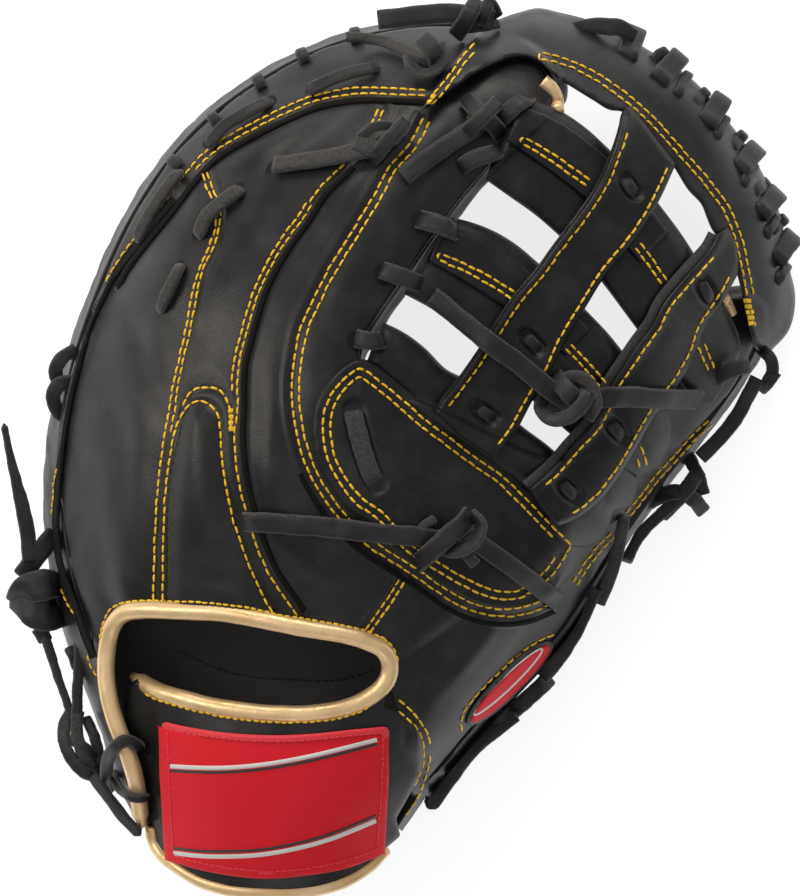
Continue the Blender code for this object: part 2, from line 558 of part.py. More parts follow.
def knot(name, u, v, length, width, turn, high, z):
    hw = high / 2
    if z < 0:
        z = rest_on(u, v, max(length, width) / 2.4) + hw + GAP
    c = place(u, v, z) / 1000.0
    me = bpy.data.meshes.new(name)
    bm = bmesh.new()
    bmesh.ops.create_cube(bm, size=1.0)
    bmesh.ops.subdivide_edges(bm, edges=bm.edges, cuts=1, use_grid_fill=True)
    a = math.radians(turn)
    m = Matrix.Translation(c) @ Matrix.Rotation(-a, 4, "Z") @ Matrix.Diagonal((length * STEP / 1000, width * STEP / 1000, high / 1000, 1))
    for w in bm.verts:
        q = w.co * 2
        r = max(abs(q.x), abs(q.y), abs(q.z))
        k = 1 / (1 + 0.22 * (abs(q.x * q.y) + abs(q.y * q.z) + abs(q.z * q.x)))
        w.co = m @ (w.co * k * (1 if r else 0))
    bm.to_mesh(me)
    bm.free()
    me.materials.append(LACE_MAT)
    ob = bpy.data.objects.new(name, me)
    MITT.objects.link(ob)
    MADE.append(ob)
    return ob


def march(line, far, step=2.0):
    """Copies of an open line moved inwards step by step, eased so that they do not fold."""
    out = [line.copy()]
    cur = line.copy()
    for _ in range(int(round(far / step))):
        cur = cur + inward(cur) * step
        mid = (cur[:-2] + cur[2:]) / 2
        cur[1:-1] += 0.12 * (mid - cur[1:-1])
        out.append(cur.copy())
    return np.array(out)


def at_depth(copies, s, step=2.0):
    """The point of each column of copies that lies s units in."""
    s = np.broadcast_to(np.asarray(s, float), (copies.shape[1],))
    k = np.clip(s / step, 0, len(copies) - 1.001)
    i = k.astype(int)
    j = np.arange(copies.shape[1])
    f = (k - i)[:, None]
    return copies[i, j] * (1 - f) + copies[i + 1, j] * f


def face_height(u, v):
    """The face of the palm, no lower than what it lies on."""
    z = BACK(u, v) - DEPTH(u, v)
    return 0.5 * (z + np.sqrt(z * z + 4.0))


EDGE = curve([(u, v, a, f if f != WEB_SIDE else float(BACK(u, v)) - RIM) for u, v, a, f in EDGE_ROWS], gap=24)
COPIES = march(EDGE[:, :2], 44)
OWN = at_depth(COPIES, EDGE[:, 2])


def under_back(u, v):
    """Greatest height just below the leather of the back."""
    e = 2.0
    run = STEP * 2 * e
    su = (BACK(u + e, v) - BACK(u - e, v)) / run
    sv = (BACK(u, v + e) - BACK(u, v - e)) / run
    return BACK(u, v) - LEATHER * np.sqrt(1 + su * su + sv * sv) - GAP


def make_palm():
    n = len(EDGE)
    foot, own = EDGE[:, 3], EDGE[:, 2]
    top = np.minimum(under_back(OWN[:, 0], OWN[:, 1]), under_back(*(at_depth(COPIES, own + 4).T))) - 0.3
    deep = at_depth(COPIES, FOOT)
    face = face_height(deep[:, 0], deep[:, 1])
    outer = [
        (own + 0.8, top), (own * 0.5, foot + (top - foot) * 0.78), (own * 0.0, foot + (top - foot) * 0.5),
        (own * 0.0 + 0.8, foot + (top - foot) * 0.2), (own * 0.0 + FLAT * 0.4, foot), (own * 0.0 + FLAT, foot),
        (own * 0.0 + FOOT * 0.8, foot * 0.6 + face * 0.4),
    ]
    wall = own + SIDE_WALL / STEP
    inset = np.maximum(FOOT, wall + 5)
    far = at_depth(COPIES, inset)
    lift_in = face_height(far[:, 0], far[:, 1]) + PAD
    inner = [(wall, top), (wall + 1.0, top * 0.5 + lift_in * 0.5)]
    verts, faces = [], []

    def row(s, z, under=False):
        q = at_depth(COPIES, s)
        if under:
            z = np.minimum(z, under_back(q[:, 0], q[:, 1]) - 1.4)
        verts.extend(place(q[:, 0], q[:, 1], z))
        return len(verts) - n

    rows_out = [row(s, z) for s, z in outer]
    heel = np.array(curve(HEEL_ROWS, gap=26))
    parts = []
    for ring_s, up in ((FOOT, 0.0), (inset, PAD)):
        edge = np.vstack([at_depth(COPIES, ring_s), heel])
        pts, tri = fill(edge, 30)
        base = len(verts)
        verts.extend(place(pts[:, 0], pts[:, 1], face_height(pts[:, 0], pts[:, 1]) + up))
        faces.extend(tuple(base + i for i in f) for f in tri)
        parts.append(base)
    rows_in = [row(s, z, True) for s, z in inner]
    out, inn = rows_out + [parts[0]], rows_in + [parts[1]]
    for chain in (out, inn):
        for a, b in zip(chain[:-1], chain[1:]):
            faces.extend((a + i, a + i + 1, b + i + 1, b + i) for i in range(n - 1))
    faces.extend((out[0] + i, out[0] + i + 1, inn[0] + i + 1, inn[0] + i) for i in range(n - 1))
    m = len(heel)
    for i in range(n - 1, n + m):
        j = (i + 1) % (n + m)
        faces.append((parts[0] + i, parts[0] + j, parts[1] + j, parts[1] + i))
    for k in (0, n - 1):
        faces.append(tuple([a + k for a in out] + [a + k for a in reversed(inn)]))
    ob = add("palm", verts, faces, LEATHER_MAT)
    bm = bmesh.new()
    bm.from_mesh(ob.data)
    bmesh.ops.triangulate(bm, faces=[f for f in bm.faces if len(f.verts) > 4])
    bm.to_mesh(ob.data)
    bm.free()


def make_back():
    upper = curve(BINDING_ROWS[:BINDING_UPPER], gap=8)
    upper = upper - inward(upper) * ((TUBE + GAP) / STEP + 1.0)
    upper = upper[(upper[:, 1] < 690) & ((upper[:, 0] > 200) | (upper[:, 1] < 636))]
    upper = curve(upper, gap=20)[::-1]
    seam = [(430, 755), (424, 728), (412, 706)]
    seam = curve(seam + [tuple(upper[0])], gap=20)
    first = next(i for i, q in enumerate(OWN) if q[1] < 648)
    last = max(i for i, q in enumerate(OWN) if q[1] < 766)
    ring = np.vstack([OWN[first : last + 1], seam[:-1], upper])
    sheet("back", ring, BACK, -LEATHER, LEATHER, 26, LEATHER_MAT)


def web_low(u, v):
    """Underside of the cross panels, kept above the back where they lie over it."""
    web = WEB(u, v) - BAR_T
    near = np.minimum(distance(u, v, OWN), 400.0)
    ring = np.vstack([OWN, np.array(HEEL_ROWS, float)])
    over = within(u, v, ring) | (near < 16)
    back = BACK(u, v) + CLEAR
    return np.where(over, np.maximum(web, back), web)


def web_top(u, v):
    return web_low(u, v) + BAR_T


def crest(u, v):
    """The highest upper face of the cross panels round about, for what lies over them."""
    t = np.linspace(0, 2 * math.pi, 9)[:-1]
    return np.max([web_top(u, v)] + [web_top(u + r * math.cos(a), v + r * math.sin(a)) for a in t for r in (7, 14)], axis=0)


def strip(rows, gap, trim=0.0):
    """A closed ring round a middle line with a width."""
    line = curve(rows, gap=gap)
    n = inward(line)
    half = line[:, 2:3] / 2 - trim
    a, b = line[:, :2] + n * half, line[:, :2] - n * half
    return np.vstack([b, a[::-1]])


make_palm()
make_back()
left = at_depth(COPIES, EDGE[:, 2] + SIDE_WALL / STEP + 10)
left = left[(left[:, 1] < 822) & (left[:, 0] < 200) & (left[:, 1] > 712)]
strap_ring = np.vstack(
    [left[0:1] * 0 + [166, 846], left, curve(STRAP_TOP_ROWS + STRAP_END_ROWS, gap=20), curve([(366, 852), (344, 867), (320, 877), (293, 881), (263, 881), (232, 878), (204, 870), (184, 858)], gap=20)]
)
sheet("strap", strap_ring, lambda u, v: np.where(u > 403, np.maximum(STRAP(u, v), BACK(u, v) + 2.4), STRAP(u, v)), 0.0, LEATHER, 22, LEATHER_MAT)

rows = curve(BINDING_ROWS, gap=11)
up_to = int(np.argmin(((rows - np.array(BINDING_ROWS[BINDING_UPPER - 1], float)) ** 2).sum(1)))
zb = BACK(rows[:, 0], rows[:, 1]) + 0.8
zs = STRAP(rows[:, 0], rows[:, 1]) + LEATHER / 2
mix = np.clip((np.arange(len(rows)) - up_to + 3) / 6.0, 0, 1)
tube("opening_binding", place(rows[:, 0], rows[:, 1], zb * (1 - mix) + zs * mix), TUBE, GOLD_MAT)
rows = curve(STRAP_EDGE_ROWS, gap=14)
tube("strap_binding", place(rows[:, 0], rows[:, 1], STRAP(rows[:, 0], rows[:, 1]) + LEATHER / 2), TUBE, GOLD_MAT)

patch = curve(PATCH_ROWS, gap=22, closed=True)
sheet("patch", patch, STRAP, LEATHER + GAP + 0.7, PATCH_T, 24, PATCH_MAT)
t = np.linspace(0, 2 * math.pi, 17)[:-1]
cu, cv, hl, hw, turn = OVAL
c, s = math.cos(math.radians(turn)), math.sin(math.radians(turn))
oval = np.stack([cu + hl * np.cos(t) * c - hw * np.sin(t) * s, cv + hl * np.cos(t) * s + hw * np.sin(t) * c], 1)
sheet("oval_patch", oval, BACK, GAP, PATCH_T, 12, PATCH_MAT)
sheet("sleeve", curve(SLEEVE_ROWS, gap=20, closed=True), BACK, GAP + 0.5, OVERLAY_T, 19, LEATHER_MAT)
sheet("index_pad", curve(INDEX_PAD_ROWS, gap=20, closed=True), BACK, GAP, OVERLAY_T + 1.2, 22, LEATHER_MAT)

sheet("bar_a", strip(BAR_A_ROWS, 20), web_low, 0.0, BAR_T, 20, LEATHER_MAT)
sheet("bar_b", strip(BAR_B_ROWS, 20), web_low, 0.0, BAR_T, 20, LEATHER_MAT)
sheet("bar_c", strip(BAR_C_ROWS, 20), web_low, 0.0, BAR_T, 20, LEATHER_MAT)
sheet("post_a", curve(POST_A_ROWS, gap=18, closed=True), crest, GAP, POST_T, 20, LEATHER_MAT)
sheet("post_b", curve(POST_B_ROWS, gap=18, closed=True), crest, GAP, POST_T, 20, LEATHER_MAT)
rim = np.vstack([curve(WEB_RIM_OUT, gap=20), curve(WEB_RIM_IN, gap=20)])
slab("web_rim", rim, lambda u, v: web_low(u, v) - 1.0, RIM_T, 20, LEATHER_MAT)

# Laces wound round the web's rim and the finger tips, standing off the edge they bind.
out = curve(WEB_RIM_OUT[4:-1], gap=9)
nrm = inward(out)
wave = 0.5 - 0.5 * np.cos(np.arange(len(out)) * 2 * math.pi / 5)
q = out - nrm * ((LACE_T / 2 + GAP) / STEP + 5 + 4 * wave[:, None])
ribbon("rim_lace", place(q[:, 0], q[:, 1], WEB(q[:, 0], q[:, 1]) + 1.5), 5.0, LACE_T, LACE_MAT)

tip = EDGE[(EDGE[:, 0] > 95) & (EDGE[:, 0] < 400) & (EDGE[:, 1] < 262), :2]
tip = curve(tip, gap=9)
nrm = inward(tip)
wave = 0.5 - 0.5 * np.cos(np.arange(len(tip)) * 2 * math.pi / 6)
q = tip - nrm * ((LACE_T / 2 + GAP) / STEP + 4 + 3 * wave[:, None])
ribbon("edge_lace", place(q[:, 0], q[:, 1], 20 + 0 * q[:, 0]), 4.0, LACE_T, LACE_MAT)

low = curve([(30, 640), (42, 668), (56, 696), (66, 716)], gap=9)
ribbon("heel_lace", place(low[:, 0], low[:, 1], 22 + 0 * low[:, 0]), 17 * STEP, LACE_T, LACE_MAT)

for name, (w, r) in LACES.items():
    laid(name, w, r, LACE_MAT)
for name, row in KNOTS.items():
    knot(name, *row)
for name, (w, r) in TAILS.items():
    laid(name, w, r, LACE_MAT)
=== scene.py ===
import math
import random

import bmesh
import bpy
import numpy as np
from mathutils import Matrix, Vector, kdtree
from mathutils.bvhtree import BVHTree
from mathutils.geometry import delaunay_2d_cdt


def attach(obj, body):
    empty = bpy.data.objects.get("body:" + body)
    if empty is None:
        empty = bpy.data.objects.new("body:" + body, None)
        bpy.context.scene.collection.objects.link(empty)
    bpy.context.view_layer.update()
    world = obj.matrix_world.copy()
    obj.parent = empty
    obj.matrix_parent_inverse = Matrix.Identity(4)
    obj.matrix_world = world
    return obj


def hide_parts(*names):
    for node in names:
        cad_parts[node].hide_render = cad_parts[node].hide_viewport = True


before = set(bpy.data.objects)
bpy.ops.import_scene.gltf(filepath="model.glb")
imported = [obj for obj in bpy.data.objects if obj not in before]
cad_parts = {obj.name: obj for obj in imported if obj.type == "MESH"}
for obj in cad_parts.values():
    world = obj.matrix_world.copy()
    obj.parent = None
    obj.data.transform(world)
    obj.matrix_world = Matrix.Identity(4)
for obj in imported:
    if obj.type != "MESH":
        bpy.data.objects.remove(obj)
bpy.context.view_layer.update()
random.seed(7)
RNG = np.random.default_rng(7)

# ---------------------------------------------------------------------------
# Driving sizes, in millimetres.
#
# The mitt lies palm down. x runs to the right across its back, y from the heel
# to the finger tips and z up from what it lies on. The tables below are read
# off the view of its back: u runs to the right and v towards the heel, in units
# of STEP, as seen from EYE above. place() turns such a reading and a height
# into millimetres.
# ---------------------------------------------------------------------------
STEP = 0.36  # one unit of u or v, at the height MID
EYE = 1600.0
MID = 60.0
U0, V0 = 400.0, 448.0
SHIFT = (-6.47, 1.22, 0.19)  # puts the origin under the middle of the mitt, its laces left out

LEATHER = 2.4  # wall of the back
PAD = 6.0  # padded palm
SIDE_WALL = 3.6
RIM = 16.0  # thickness of the padded edge beside the web
LACE_W, LACE_T = 6.2, 2.3  # flat rawhide lace


def place(u, v, z):
    u, v, z = np.broadcast_arrays(*(np.asarray(a, float) for a in (u, v, z)))
    k = STEP * (EYE - z) / (EYE - MID)
    return np.stack(
        [(u - U0) * k + SHIFT[0], (V0 - v) * k + SHIFT[1], z + SHIFT[2]], -1
    )


class Height:
    """A smooth height over u and v through a table of rows (u, v, z): a thin plate."""

    def __init__(self, rows, give=0.0):
        p = np.array(rows, float)
        self.c = p[:, :2] / 100.0
        n = len(p)
        a = np.zeros((n + 3, n + 3))
        a[:n, :n] = self._k(self.c, self.c) + give * np.eye(n)
        a[:n, n] = a[n, :n] = 1.0
        a[:n, n + 1 :] = self.c
        a[n + 1 :, :n] = self.c.T
        self.w = np.linalg.solve(a, np.concatenate([p[:, 2], np.zeros(3)]))

    @staticmethod
    def _k(a, b):
        d2 = ((a[:, None] - b[None]) ** 2).sum(2)
        return 0.5 * d2 * np.log(np.maximum(d2, 1e-12))

    def __call__(self, u, v):
        u, v = np.broadcast_arrays(np.asarray(u, float), np.asarray(v, float))
        q = np.stack([u.ravel(), v.ravel()], 1) / 100.0
        n = len(self.c)
        out = np.concatenate(
            [
                self._k(part, self.c) @ self.w[:n] + self.w[n] + part @ self.w[n + 1 :]
                for part in np.array_split(q, max(1, len(q) // 20000))
            ]
        )
        return out.reshape(u.shape)


# Height of the back of the mitt: columns u, v, z.
BACK_ROWS = [
    # finger tips
    (455, 14, 30), (405, 18, 29), (352, 28, 29), (500, 22, 33), (430, 50, 58), (370, 60, 53), (480, 45, 60), (530, 50, 57),
    (300, 46, 29), (320, 78, 50), (400, 95, 76), (460, 90, 77), (520, 90, 74), (568, 92, 66), (545, 62, 62),
    # outer edge of the fingers, top to heel
    (250, 74, 29), (205, 107, 29), (166, 148, 29), (134, 195, 29), (108, 245, 29), (88, 295, 29), (72, 340, 30),
    (60, 385, 30), (56, 435, 31), (58, 490, 33), (60, 540, 35), (68, 592, 40), (88, 640, 49), (104, 690, 54), (116, 740, 53),
    (130, 790, 48), (148, 829, 43),
    # across the fingers
    (250, 118, 56), (205, 160, 56), (165, 220, 57), (140, 280, 58), (122, 340, 59), (108, 400, 59), (102, 460, 60), (104, 520, 62), (116, 580, 66),
    (320, 150, 80), (265, 200, 80), (220, 260, 81), (195, 330, 82), (180, 400, 83), (172, 470, 83), (170, 540, 81), (175, 600, 77),
    (390, 160, 90), (340, 230, 94), (300, 310, 97), (275, 390, 99), (260, 470, 98), (255, 540, 94), (250, 608, 87),
    (440, 170, 88), (400, 240, 94), (360, 310, 98), (330, 380, 102), (325, 460, 102), (330, 540, 99), (330, 635, 90), (385, 665, 83),
    (505, 145, 80), (475, 185, 84), (445, 222, 88), (420, 262, 90), (396, 298, 92), (372, 334, 95), (358, 370, 97),
    # thumb
    (400, 400, 95), (450, 425, 89), (500, 450, 82), (550, 470, 74), (600, 470, 62), (640, 430, 53), (675, 385, 46), (705, 335, 42), (730, 300, 38),
    (400, 480, 97), (460, 500, 88), (520, 520, 77), (570, 530, 66), (620, 490, 52), (665, 440, 40), (705, 385, 33), (740, 335, 28),
    (415, 560, 93), (470, 575, 82), (530, 580, 67), (575, 570, 53), (625, 520, 37), (670, 465, 26), (710, 415, 20), (745, 362, 18), (766, 318, 20),
    (768, 340, 14), (728, 408, 14), (670, 482, 16), (617, 557, 20), (600, 585, 23),
    (400, 620, 89), (450, 640, 78), (500, 630, 66), (545, 620, 50), (580, 600, 33),
    (405, 690, 78), (440, 700, 69), (478, 690, 56), (510, 670, 45), (545, 655, 29), (515, 689, 28),
    (432, 750, 58), (460, 735, 45), (485, 720, 28), (430, 785, 44), (441, 771, 31), (404, 828, 38), (420, 800, 34),
]

# Depth from the back down to the face of the palm: columns u, v, depth.
DEPTH_ROWS = [
    (90, 450, 24), (200, 450, 34), (300, 450, 38), (350, 360, 20), (300, 550, 46), (270, 650, 60), (270, 760, 66), (270, 850, 56),
    (120, 330, 26), (250, 300, 33), (300, 200, 31), (180, 200, 24), (380, 100, 26), (300, 80, 22), (440, 55, 20), (500, 60, 18), (560, 90, 16),
    (480, 190, 16), (430, 262, 16), (385, 325, 16), (400, 400, 17), (480, 440, 16), (560, 470, 16), (640, 430, 16), (700, 340, 16),
    (450, 560, 34), (500, 620, 38), (420, 700, 60), (440, 770, 42), (150, 700, 50), (140, 800, 40), (600, 550, 26), (680, 450, 16), (740, 340, 14),
]

# Height of the wrist strap, which runs in under the heel's outer edge: columns u, v, z.
STRAP_ROWS = [
    (128, 676, 44), (160, 694, 60), (200, 706, 69), (250, 713, 75), (300, 715, 78), (350, 709, 79), (385, 695, 80), (415, 705, 77),
    (124, 740, 38), (160, 745, 57), (200, 750, 69), (270, 755, 76), (340, 750, 77), (390, 742, 72), (436, 745, 61),
    (136, 795, 36), (165, 800, 53), (200, 806, 64), (270, 810, 71), (340, 806, 70), (390, 798, 60), (428, 792, 48),
    (152, 842, 36), (180, 862, 48), (220, 876, 56), (270, 884, 60), (320, 880, 58), (360, 865, 52), (396, 838, 43),
]

# Height of the web, along the upper faces of its cross bars: columns u, v, z.
WEB_ROWS = [
    (560, 10, 33), (600, 25, 33), (640, 45, 33), (680, 72, 32), (716, 98, 30), (742, 135, 27), (765, 175, 25), (785, 222, 22), (795, 262, 19), (795, 290, 18),
    (500, 40, 57), (450, 75, 73), (425, 108, 79), (540, 50, 57), (590, 75, 56), (640, 105, 53), (685, 140, 49), (722, 185, 44), (748, 235, 38), (762, 290, 32), (766, 330, 26),
    (545, 85, 70), (515, 110, 79), (490, 150, 84), (462, 205, 89), (440, 235, 91), (400, 292, 94), (378, 322, 96),
    (600, 120, 69), (575, 170, 76), (545, 225, 82), (515, 280, 87), (480, 335, 90), (440, 385, 92), (380, 370, 97),
    (655, 165, 62), (635, 215, 70), (610, 270, 77), (580, 325, 82), (545, 380, 84), (505, 430, 85),
    (700, 215, 54), (685, 265, 63), (665, 320, 69), (635, 375, 72), (600, 425, 74), (560, 475, 76), (520, 460, 82),
    (735, 290, 45), (725, 335, 43), (700, 385, 46), (668, 430, 52), (640, 468, 55), (605, 505, 60), (745, 340, 36), (715, 398, 36), (680, 452, 40), (645, 495, 44),
]

BACK = Height(BACK_ROWS, 0.002)
DEPTH = Height(DEPTH_ROWS, 0.002)
STRAP = Height(STRAP_ROWS, 0.002)
WEB = Height(WEB_ROWS, 0.002)

# The edge of the mitt, from the outer end of the heel round the finger tips, down
# beside the web, out along the thumb and back to the inner end of the heel.
# Columns: u, v, how far in the back's own edge lies (units), height of the edge's
# foot (mm; WEB_SIDE where it hangs RIM below the back, beside the web).
WEB_SIDE = -1.0
EDGE_ROWS = [
    (141, 829, 8, 1.5), (121, 790, 10, 0.5), (104, 740, 14, 0), (86, 690, 19, 0), (67, 640, 22, 0), (54, 592, 20, 0), (46, 540, 18, 0), (44, 490, 15, 0),
    (48, 435, 11, 0), (58, 385, 8, 0), (72, 340, 6, 0), (88, 295, 6, 0), (108, 247, 6, 0), (134, 198, 6, 0), (166, 152, 6, 0), (205, 111, 6, 0),
    (250, 78, 6, 0), (300, 50, 6, 0), (352, 31, 6, 0), (405, 21, 6, 0), (455, 17, 6, 2), (500, 25, 8, 9), (535, 44, 9, 22), (559, 68, 9, 42),
    (568, 95, 9, WEB_SIDE), (548, 122, 9, WEB_SIDE), (515, 151, 9, WEB_SIDE), (482, 188, 9, WEB_SIDE), (453, 225, 9, WEB_SIDE), (428, 261, 9, WEB_SIDE),
    (402, 299, 9, WEB_SIDE), (377, 336, 9, WEB_SIDE), (364, 366, 9, WEB_SIDE), (385, 390, 9, WEB_SIDE), (425, 402, 9, WEB_SIDE), (470, 422, 9, WEB_SIDE),
    (515, 447, 9, WEB_SIDE), (560, 462, 9, WEB_SIDE), (605, 448, 9, WEB_SIDE), (643, 407, 9, WEB_SIDE), (676, 357, 9, WEB_SIDE), (704, 312, 9, WEB_SIDE),
    (732, 286, 9, 20), (760, 292, 8, 8), (770, 316, 6, 2), (766, 342, 6, 0), (750, 375, 6, 0), (727, 409, 6, 0), (699, 446, 6, 0), (670, 483, 6, 0),
    (643, 520, 6, 0), (617, 558, 6, 0), (592, 597, 6, 0), (568, 633, 6, 0), (545, 660, 6, 0), (515, 692, 6, 0), (487, 722, 6, 0), (463, 750, 6, 0),
    (441, 775, 6, 0), (421, 803, 6, 0.5), (402, 831, 6, 1.5),
]
# The open edge of the palm's heel, inner end to outer end: columns u, v, z.
HEEL_ROWS = [(375, 845), (340, 855), (300, 860), (260, 861), (215, 855), (175, 843)]

# The back's edge at the hand opening and the strap's seam, from the inner end of
# the heel to the outer one: columns u, v.
OPENING_ROWS = [
    (418, 806), (428, 785), (432, 755), (424, 728), (410, 708), (399, 693), (394, 680), (384, 666), (362, 652), (330, 640), (290, 630), (250, 622),
    (210, 618), (175, 617), (148, 621), (128, 633), (117, 648),
]
FOOT = 24.0  # how far in from the edge the palm's face begins, in units
FLAT = 13.0  # and where its flattened foot begins


def curve(rows, gap=None, count=None, closed=False):
    """Points on a smooth curve through the rows, about gap apart in their first two columns."""
    p = np.array(rows, float)
    n = len(p)
    q = (
        np.vstack([p[-1:], p, p[:2]])
        if closed
        else np.vstack([2 * p[0] - p[1], p, 2 * p[-1] - p[-2]])
    )
    t = np.linspace(0, 1, 13)[:-1, None]
    out = []
    for i in range(n if closed else n - 1):
        a, b, c, d = q[i : i + 4]
        # centripetal spacing keeps the curve from looping where rows lie close together
        k = [0.0]
        for x, y in ((a, b), (b, c), (c, d)):
            k.append(k[-1] + max(np.linalg.norm(y[:3] - x[:3]), 1e-6) ** 0.5)
        s = k[1] + (k[2] - k[1]) * t
        f = lambda x, y, i0, i1: ((k[i1] - s) * x + (s - k[i0]) * y) / (k[i1] - k[i0])
        a1, a2, a3 = f(a, b, 0, 1), f(b, c, 1, 2), f(c, d, 2, 3)
        b1, b2 = f(a1, a2, 0, 2), f(a2, a3, 1, 3)
        out.append(f(b1, b2, 1, 2))
    out.append(p[:1] if closed else p[-1:])
    fine = np.vstack(out)
    along = np.concatenate([[0], np.cumsum(np.linalg.norm(np.diff(fine[:, :2], axis=0), axis=1))])
    if fine.shape[1] > 2 and along[-1] == 0:
        along = np.linspace(0, 1, len(fine))
    if count is None:
        count = max(2, int(round(along[-1] / gap)) + 1)
    at = np.linspace(0, along[-1], count)
    res = np.stack([np.interp(at, along, fine[:, j]) for j in range(fine.shape[1])], 1)
    return res[:-1] if closed else res


def inward(line, closed=False):
    """Unit normals to the left of travel over u and v; the tables run clockwise, so these point inwards."""
    if closed:
        d = np.roll(line[:, :2], -1, 0) - np.roll(line[:, :2], 1, 0)
    else:
        d = np.gradient(line[:, :2], axis=0)
    d /= np.maximum(np.linalg.norm(d, axis=1, keepdims=True), 1e-9)
    return np.stack([-d[:, 1], d[:, 0]], 1)


def distance(u, v, line, closed=False):
    """Distance over u and v to a polyline."""
    p = np.stack([np.ravel(u), np.ravel(v)], 1)
    a = line[:, :2] if closed else line[:-1, :2]
    b = np.roll(line[:, :2], -1, 0) if closed else line[1:, :2]
    best = np.full(len(p), 1e9)
    for s, e in zip(a, b):
        d = e - s
        t = np.clip(((p - s) @ d) / max(d @ d, 1e-9), 0, 1)
        best = np.minimum(best, np.linalg.norm(p - s - t[:, None] * d, axis=1))
    return best.reshape(np.shape(u))


def within(u, v, ring):
    """True inside a closed ring."""
    u, v = np.asarray(u, float), np.asarray(v, float)
    x, y = ring[:, 0], ring[:, 1]
    inside = np.zeros(u.shape, bool)
    for i in range(len(ring)):
        j = i - 1
        if y[i] == y[j]:
            continue
        cross = (y[i] > v) != (y[j] > v)
        inside ^= cross & (u < (x[j] - x[i]) * (v - y[i]) / (y[j] - y[i]) + x[i])
    return inside


def fill(ring, gap, lines=()):
    """Triangles over u and v inside a closed ring: the ring's own points come first, then a staggered grid."""
    ring = np.asarray(ring, float)[:, :2]
    lo, hi = ring.min(0), ring.max(0)
    rows = []
    for j, y in enumerate(np.arange(lo[1], hi[1], gap * 0.866)):
        x = np.arange(lo[0] + (j % 2) * gap / 2, hi[0], gap)
        rows.append(np.stack([x, np.full(len(x), y)], 1))
    grid = np.vstack(rows)
    grid = grid[within(grid[:, 0], grid[:, 1], ring)]
    near = np.ones(len(grid), bool)
    cell = {}
    for p in ring:
        cell.setdefault((int(p[0] // gap), int(p[1] // gap)), []).append(p)
    for i, g in enumerate(grid):
        ci, cj = int(g[0] // gap), int(g[1] // gap)
        for a in (-1, 0, 1):
            for b in (-1, 0, 1):
                for p in cell.get((ci + a, cj + b), ()):
                    if (g[0] - p[0]) ** 2 + (g[1] - p[1]) ** 2 < (0.62 * gap) ** 2:
                        near[i] = False
    grid = grid[near]
    points = np.vstack([ring, grid])
    n = len(ring)
    got = delaunay_2d_cdt(
        [Vector(p) for p in points], [(i, (i + 1) % n) for i in range(n)], [], 1, 1e-6
    )
    verts = np.array([list(p) for p in got[0]], float)
    # keep the ring's own order: map the result back to the points that went in
    order = np.full(len(verts), -1)
    for i, ids in enumerate(got[3]):
        order[i] = ids[0] if ids else -1
    keep = [i for i in range(len(verts)) if order[i] >= 0]
    new = {i: order[i] for i in keep}
    faces = [tuple(new[i] for i in f) for f in got[2] if all(i in new for i in f)]
    a, b, c = (points[[f[k] for f in faces]] for k in range(3))
    turn = (b[:, 0] - a[:, 0]) * (c[:, 1] - a[:, 1]) - (b[:, 1] - a[:, 1]) * (c[:, 0] - a[:, 0])
    # u to the right and v down, so a clockwise face in u and v looks up in z
    faces = [f if t < 0 else f[::-1] for f, t in zip(faces, turn)]
    return points, faces


def lift(height, u, v, off):
    """Points off millimetres above a height table, along its own normal."""
    e = 1.0
    p = place(u, v, height(u, v))
    pu = place(u + e, v, height(u + e, v)) - place(u - e, v, height(u - e, v))
    pv = place(u, v - e, height(u, v - e)) - place(u, v + e, height(u, v + e))
    n = np.cross(pu, pv)
    n /= np.linalg.norm(n, axis=-1, keepdims=True)
    off = np.asarray(off, float)
    return p + n * (off[..., None] if off.ndim else off)


# ---------------------------------------------------------------------------
# Camera: straight above the mitt, at the distance that place() reads from
# ---------------------------------------------------------------------------
def mm(*p):
    return tuple(c / 1000.0 for c in p)


cam = bpy.data.cameras.new("camera")
cam.sensor_width = 36.0
cam.lens = 36.0 / 896 * (EYE - MID) / STEP
camera = bpy.data.objects.new("camera", cam)
camera.location = mm(SHIFT[0], SHIFT[1], SHIFT[2] + EYE)
bpy.context.scene.collection.objects.link(camera)
bpy.context.scene.camera = camera
cam.clip_end = 20.0


def soft_light(name, at, size, power, tint=(1, 1, 1), aim=(0, 0, 40)):
    li = bpy.data.lights.new(name, "AREA")
    li.shape = "RECTANGLE"
    li.size, li.size_y = size[0] / 1000.0, size[1] / 1000.0
    li.energy = power
    li.color = tint
    ob = bpy.data.objects.new(name, li)
    ob.location = mm(*at)
    d = Vector(mm(*aim)) - ob.location
    ob.rotation_euler = d.to_track_quat("-Z", "Y").to_euler()
    bpy.context.scene.collection.objects.link(ob)
    return ob


soft_light("light_left", (-1000, 250, 700), (420, 1000), 5.6, (1.0, 0.93, 0.84))
soft_light("light_top", (-50, 1150, 620), (1100, 380), 9, (1.0, 0.95, 0.88))
soft_light("light_right", (1150, 150, 420), (300, 700), 0.6)
soft_light("light_front", (-50, -1150, 500), (900, 260), 1.2)
world = bpy.data.worlds.new("studio")
world.use_nodes = True
tree = world.node_tree
bg = tree.nodes["Background"]
where = tree.nodes.new("ShaderNodeTexCoord")
split = tree.nodes.new("ShaderNodeSeparateXYZ")
level = tree.nodes.new("ShaderNodeMapRange")
level.interpolation_type = "SMOOTHSTEP"
for key, value in zip(("From Min", "From Max", "To Min", "To Max"), (0.0, 0.95, 0.08, 0.56)):
    level.inputs[key].default_value = value
tree.links.new(where.outputs["Generated"], split.inputs["Vector"])
tree.links.new(split.outputs["Z"], level.inputs["Value"])
tree.links.new(level.outputs["Result"], bg.inputs["Strength"])
bg.inputs["Color"].default_value = (0.97, 0.98, 1.0, 1)
bpy.context.scene.world = world
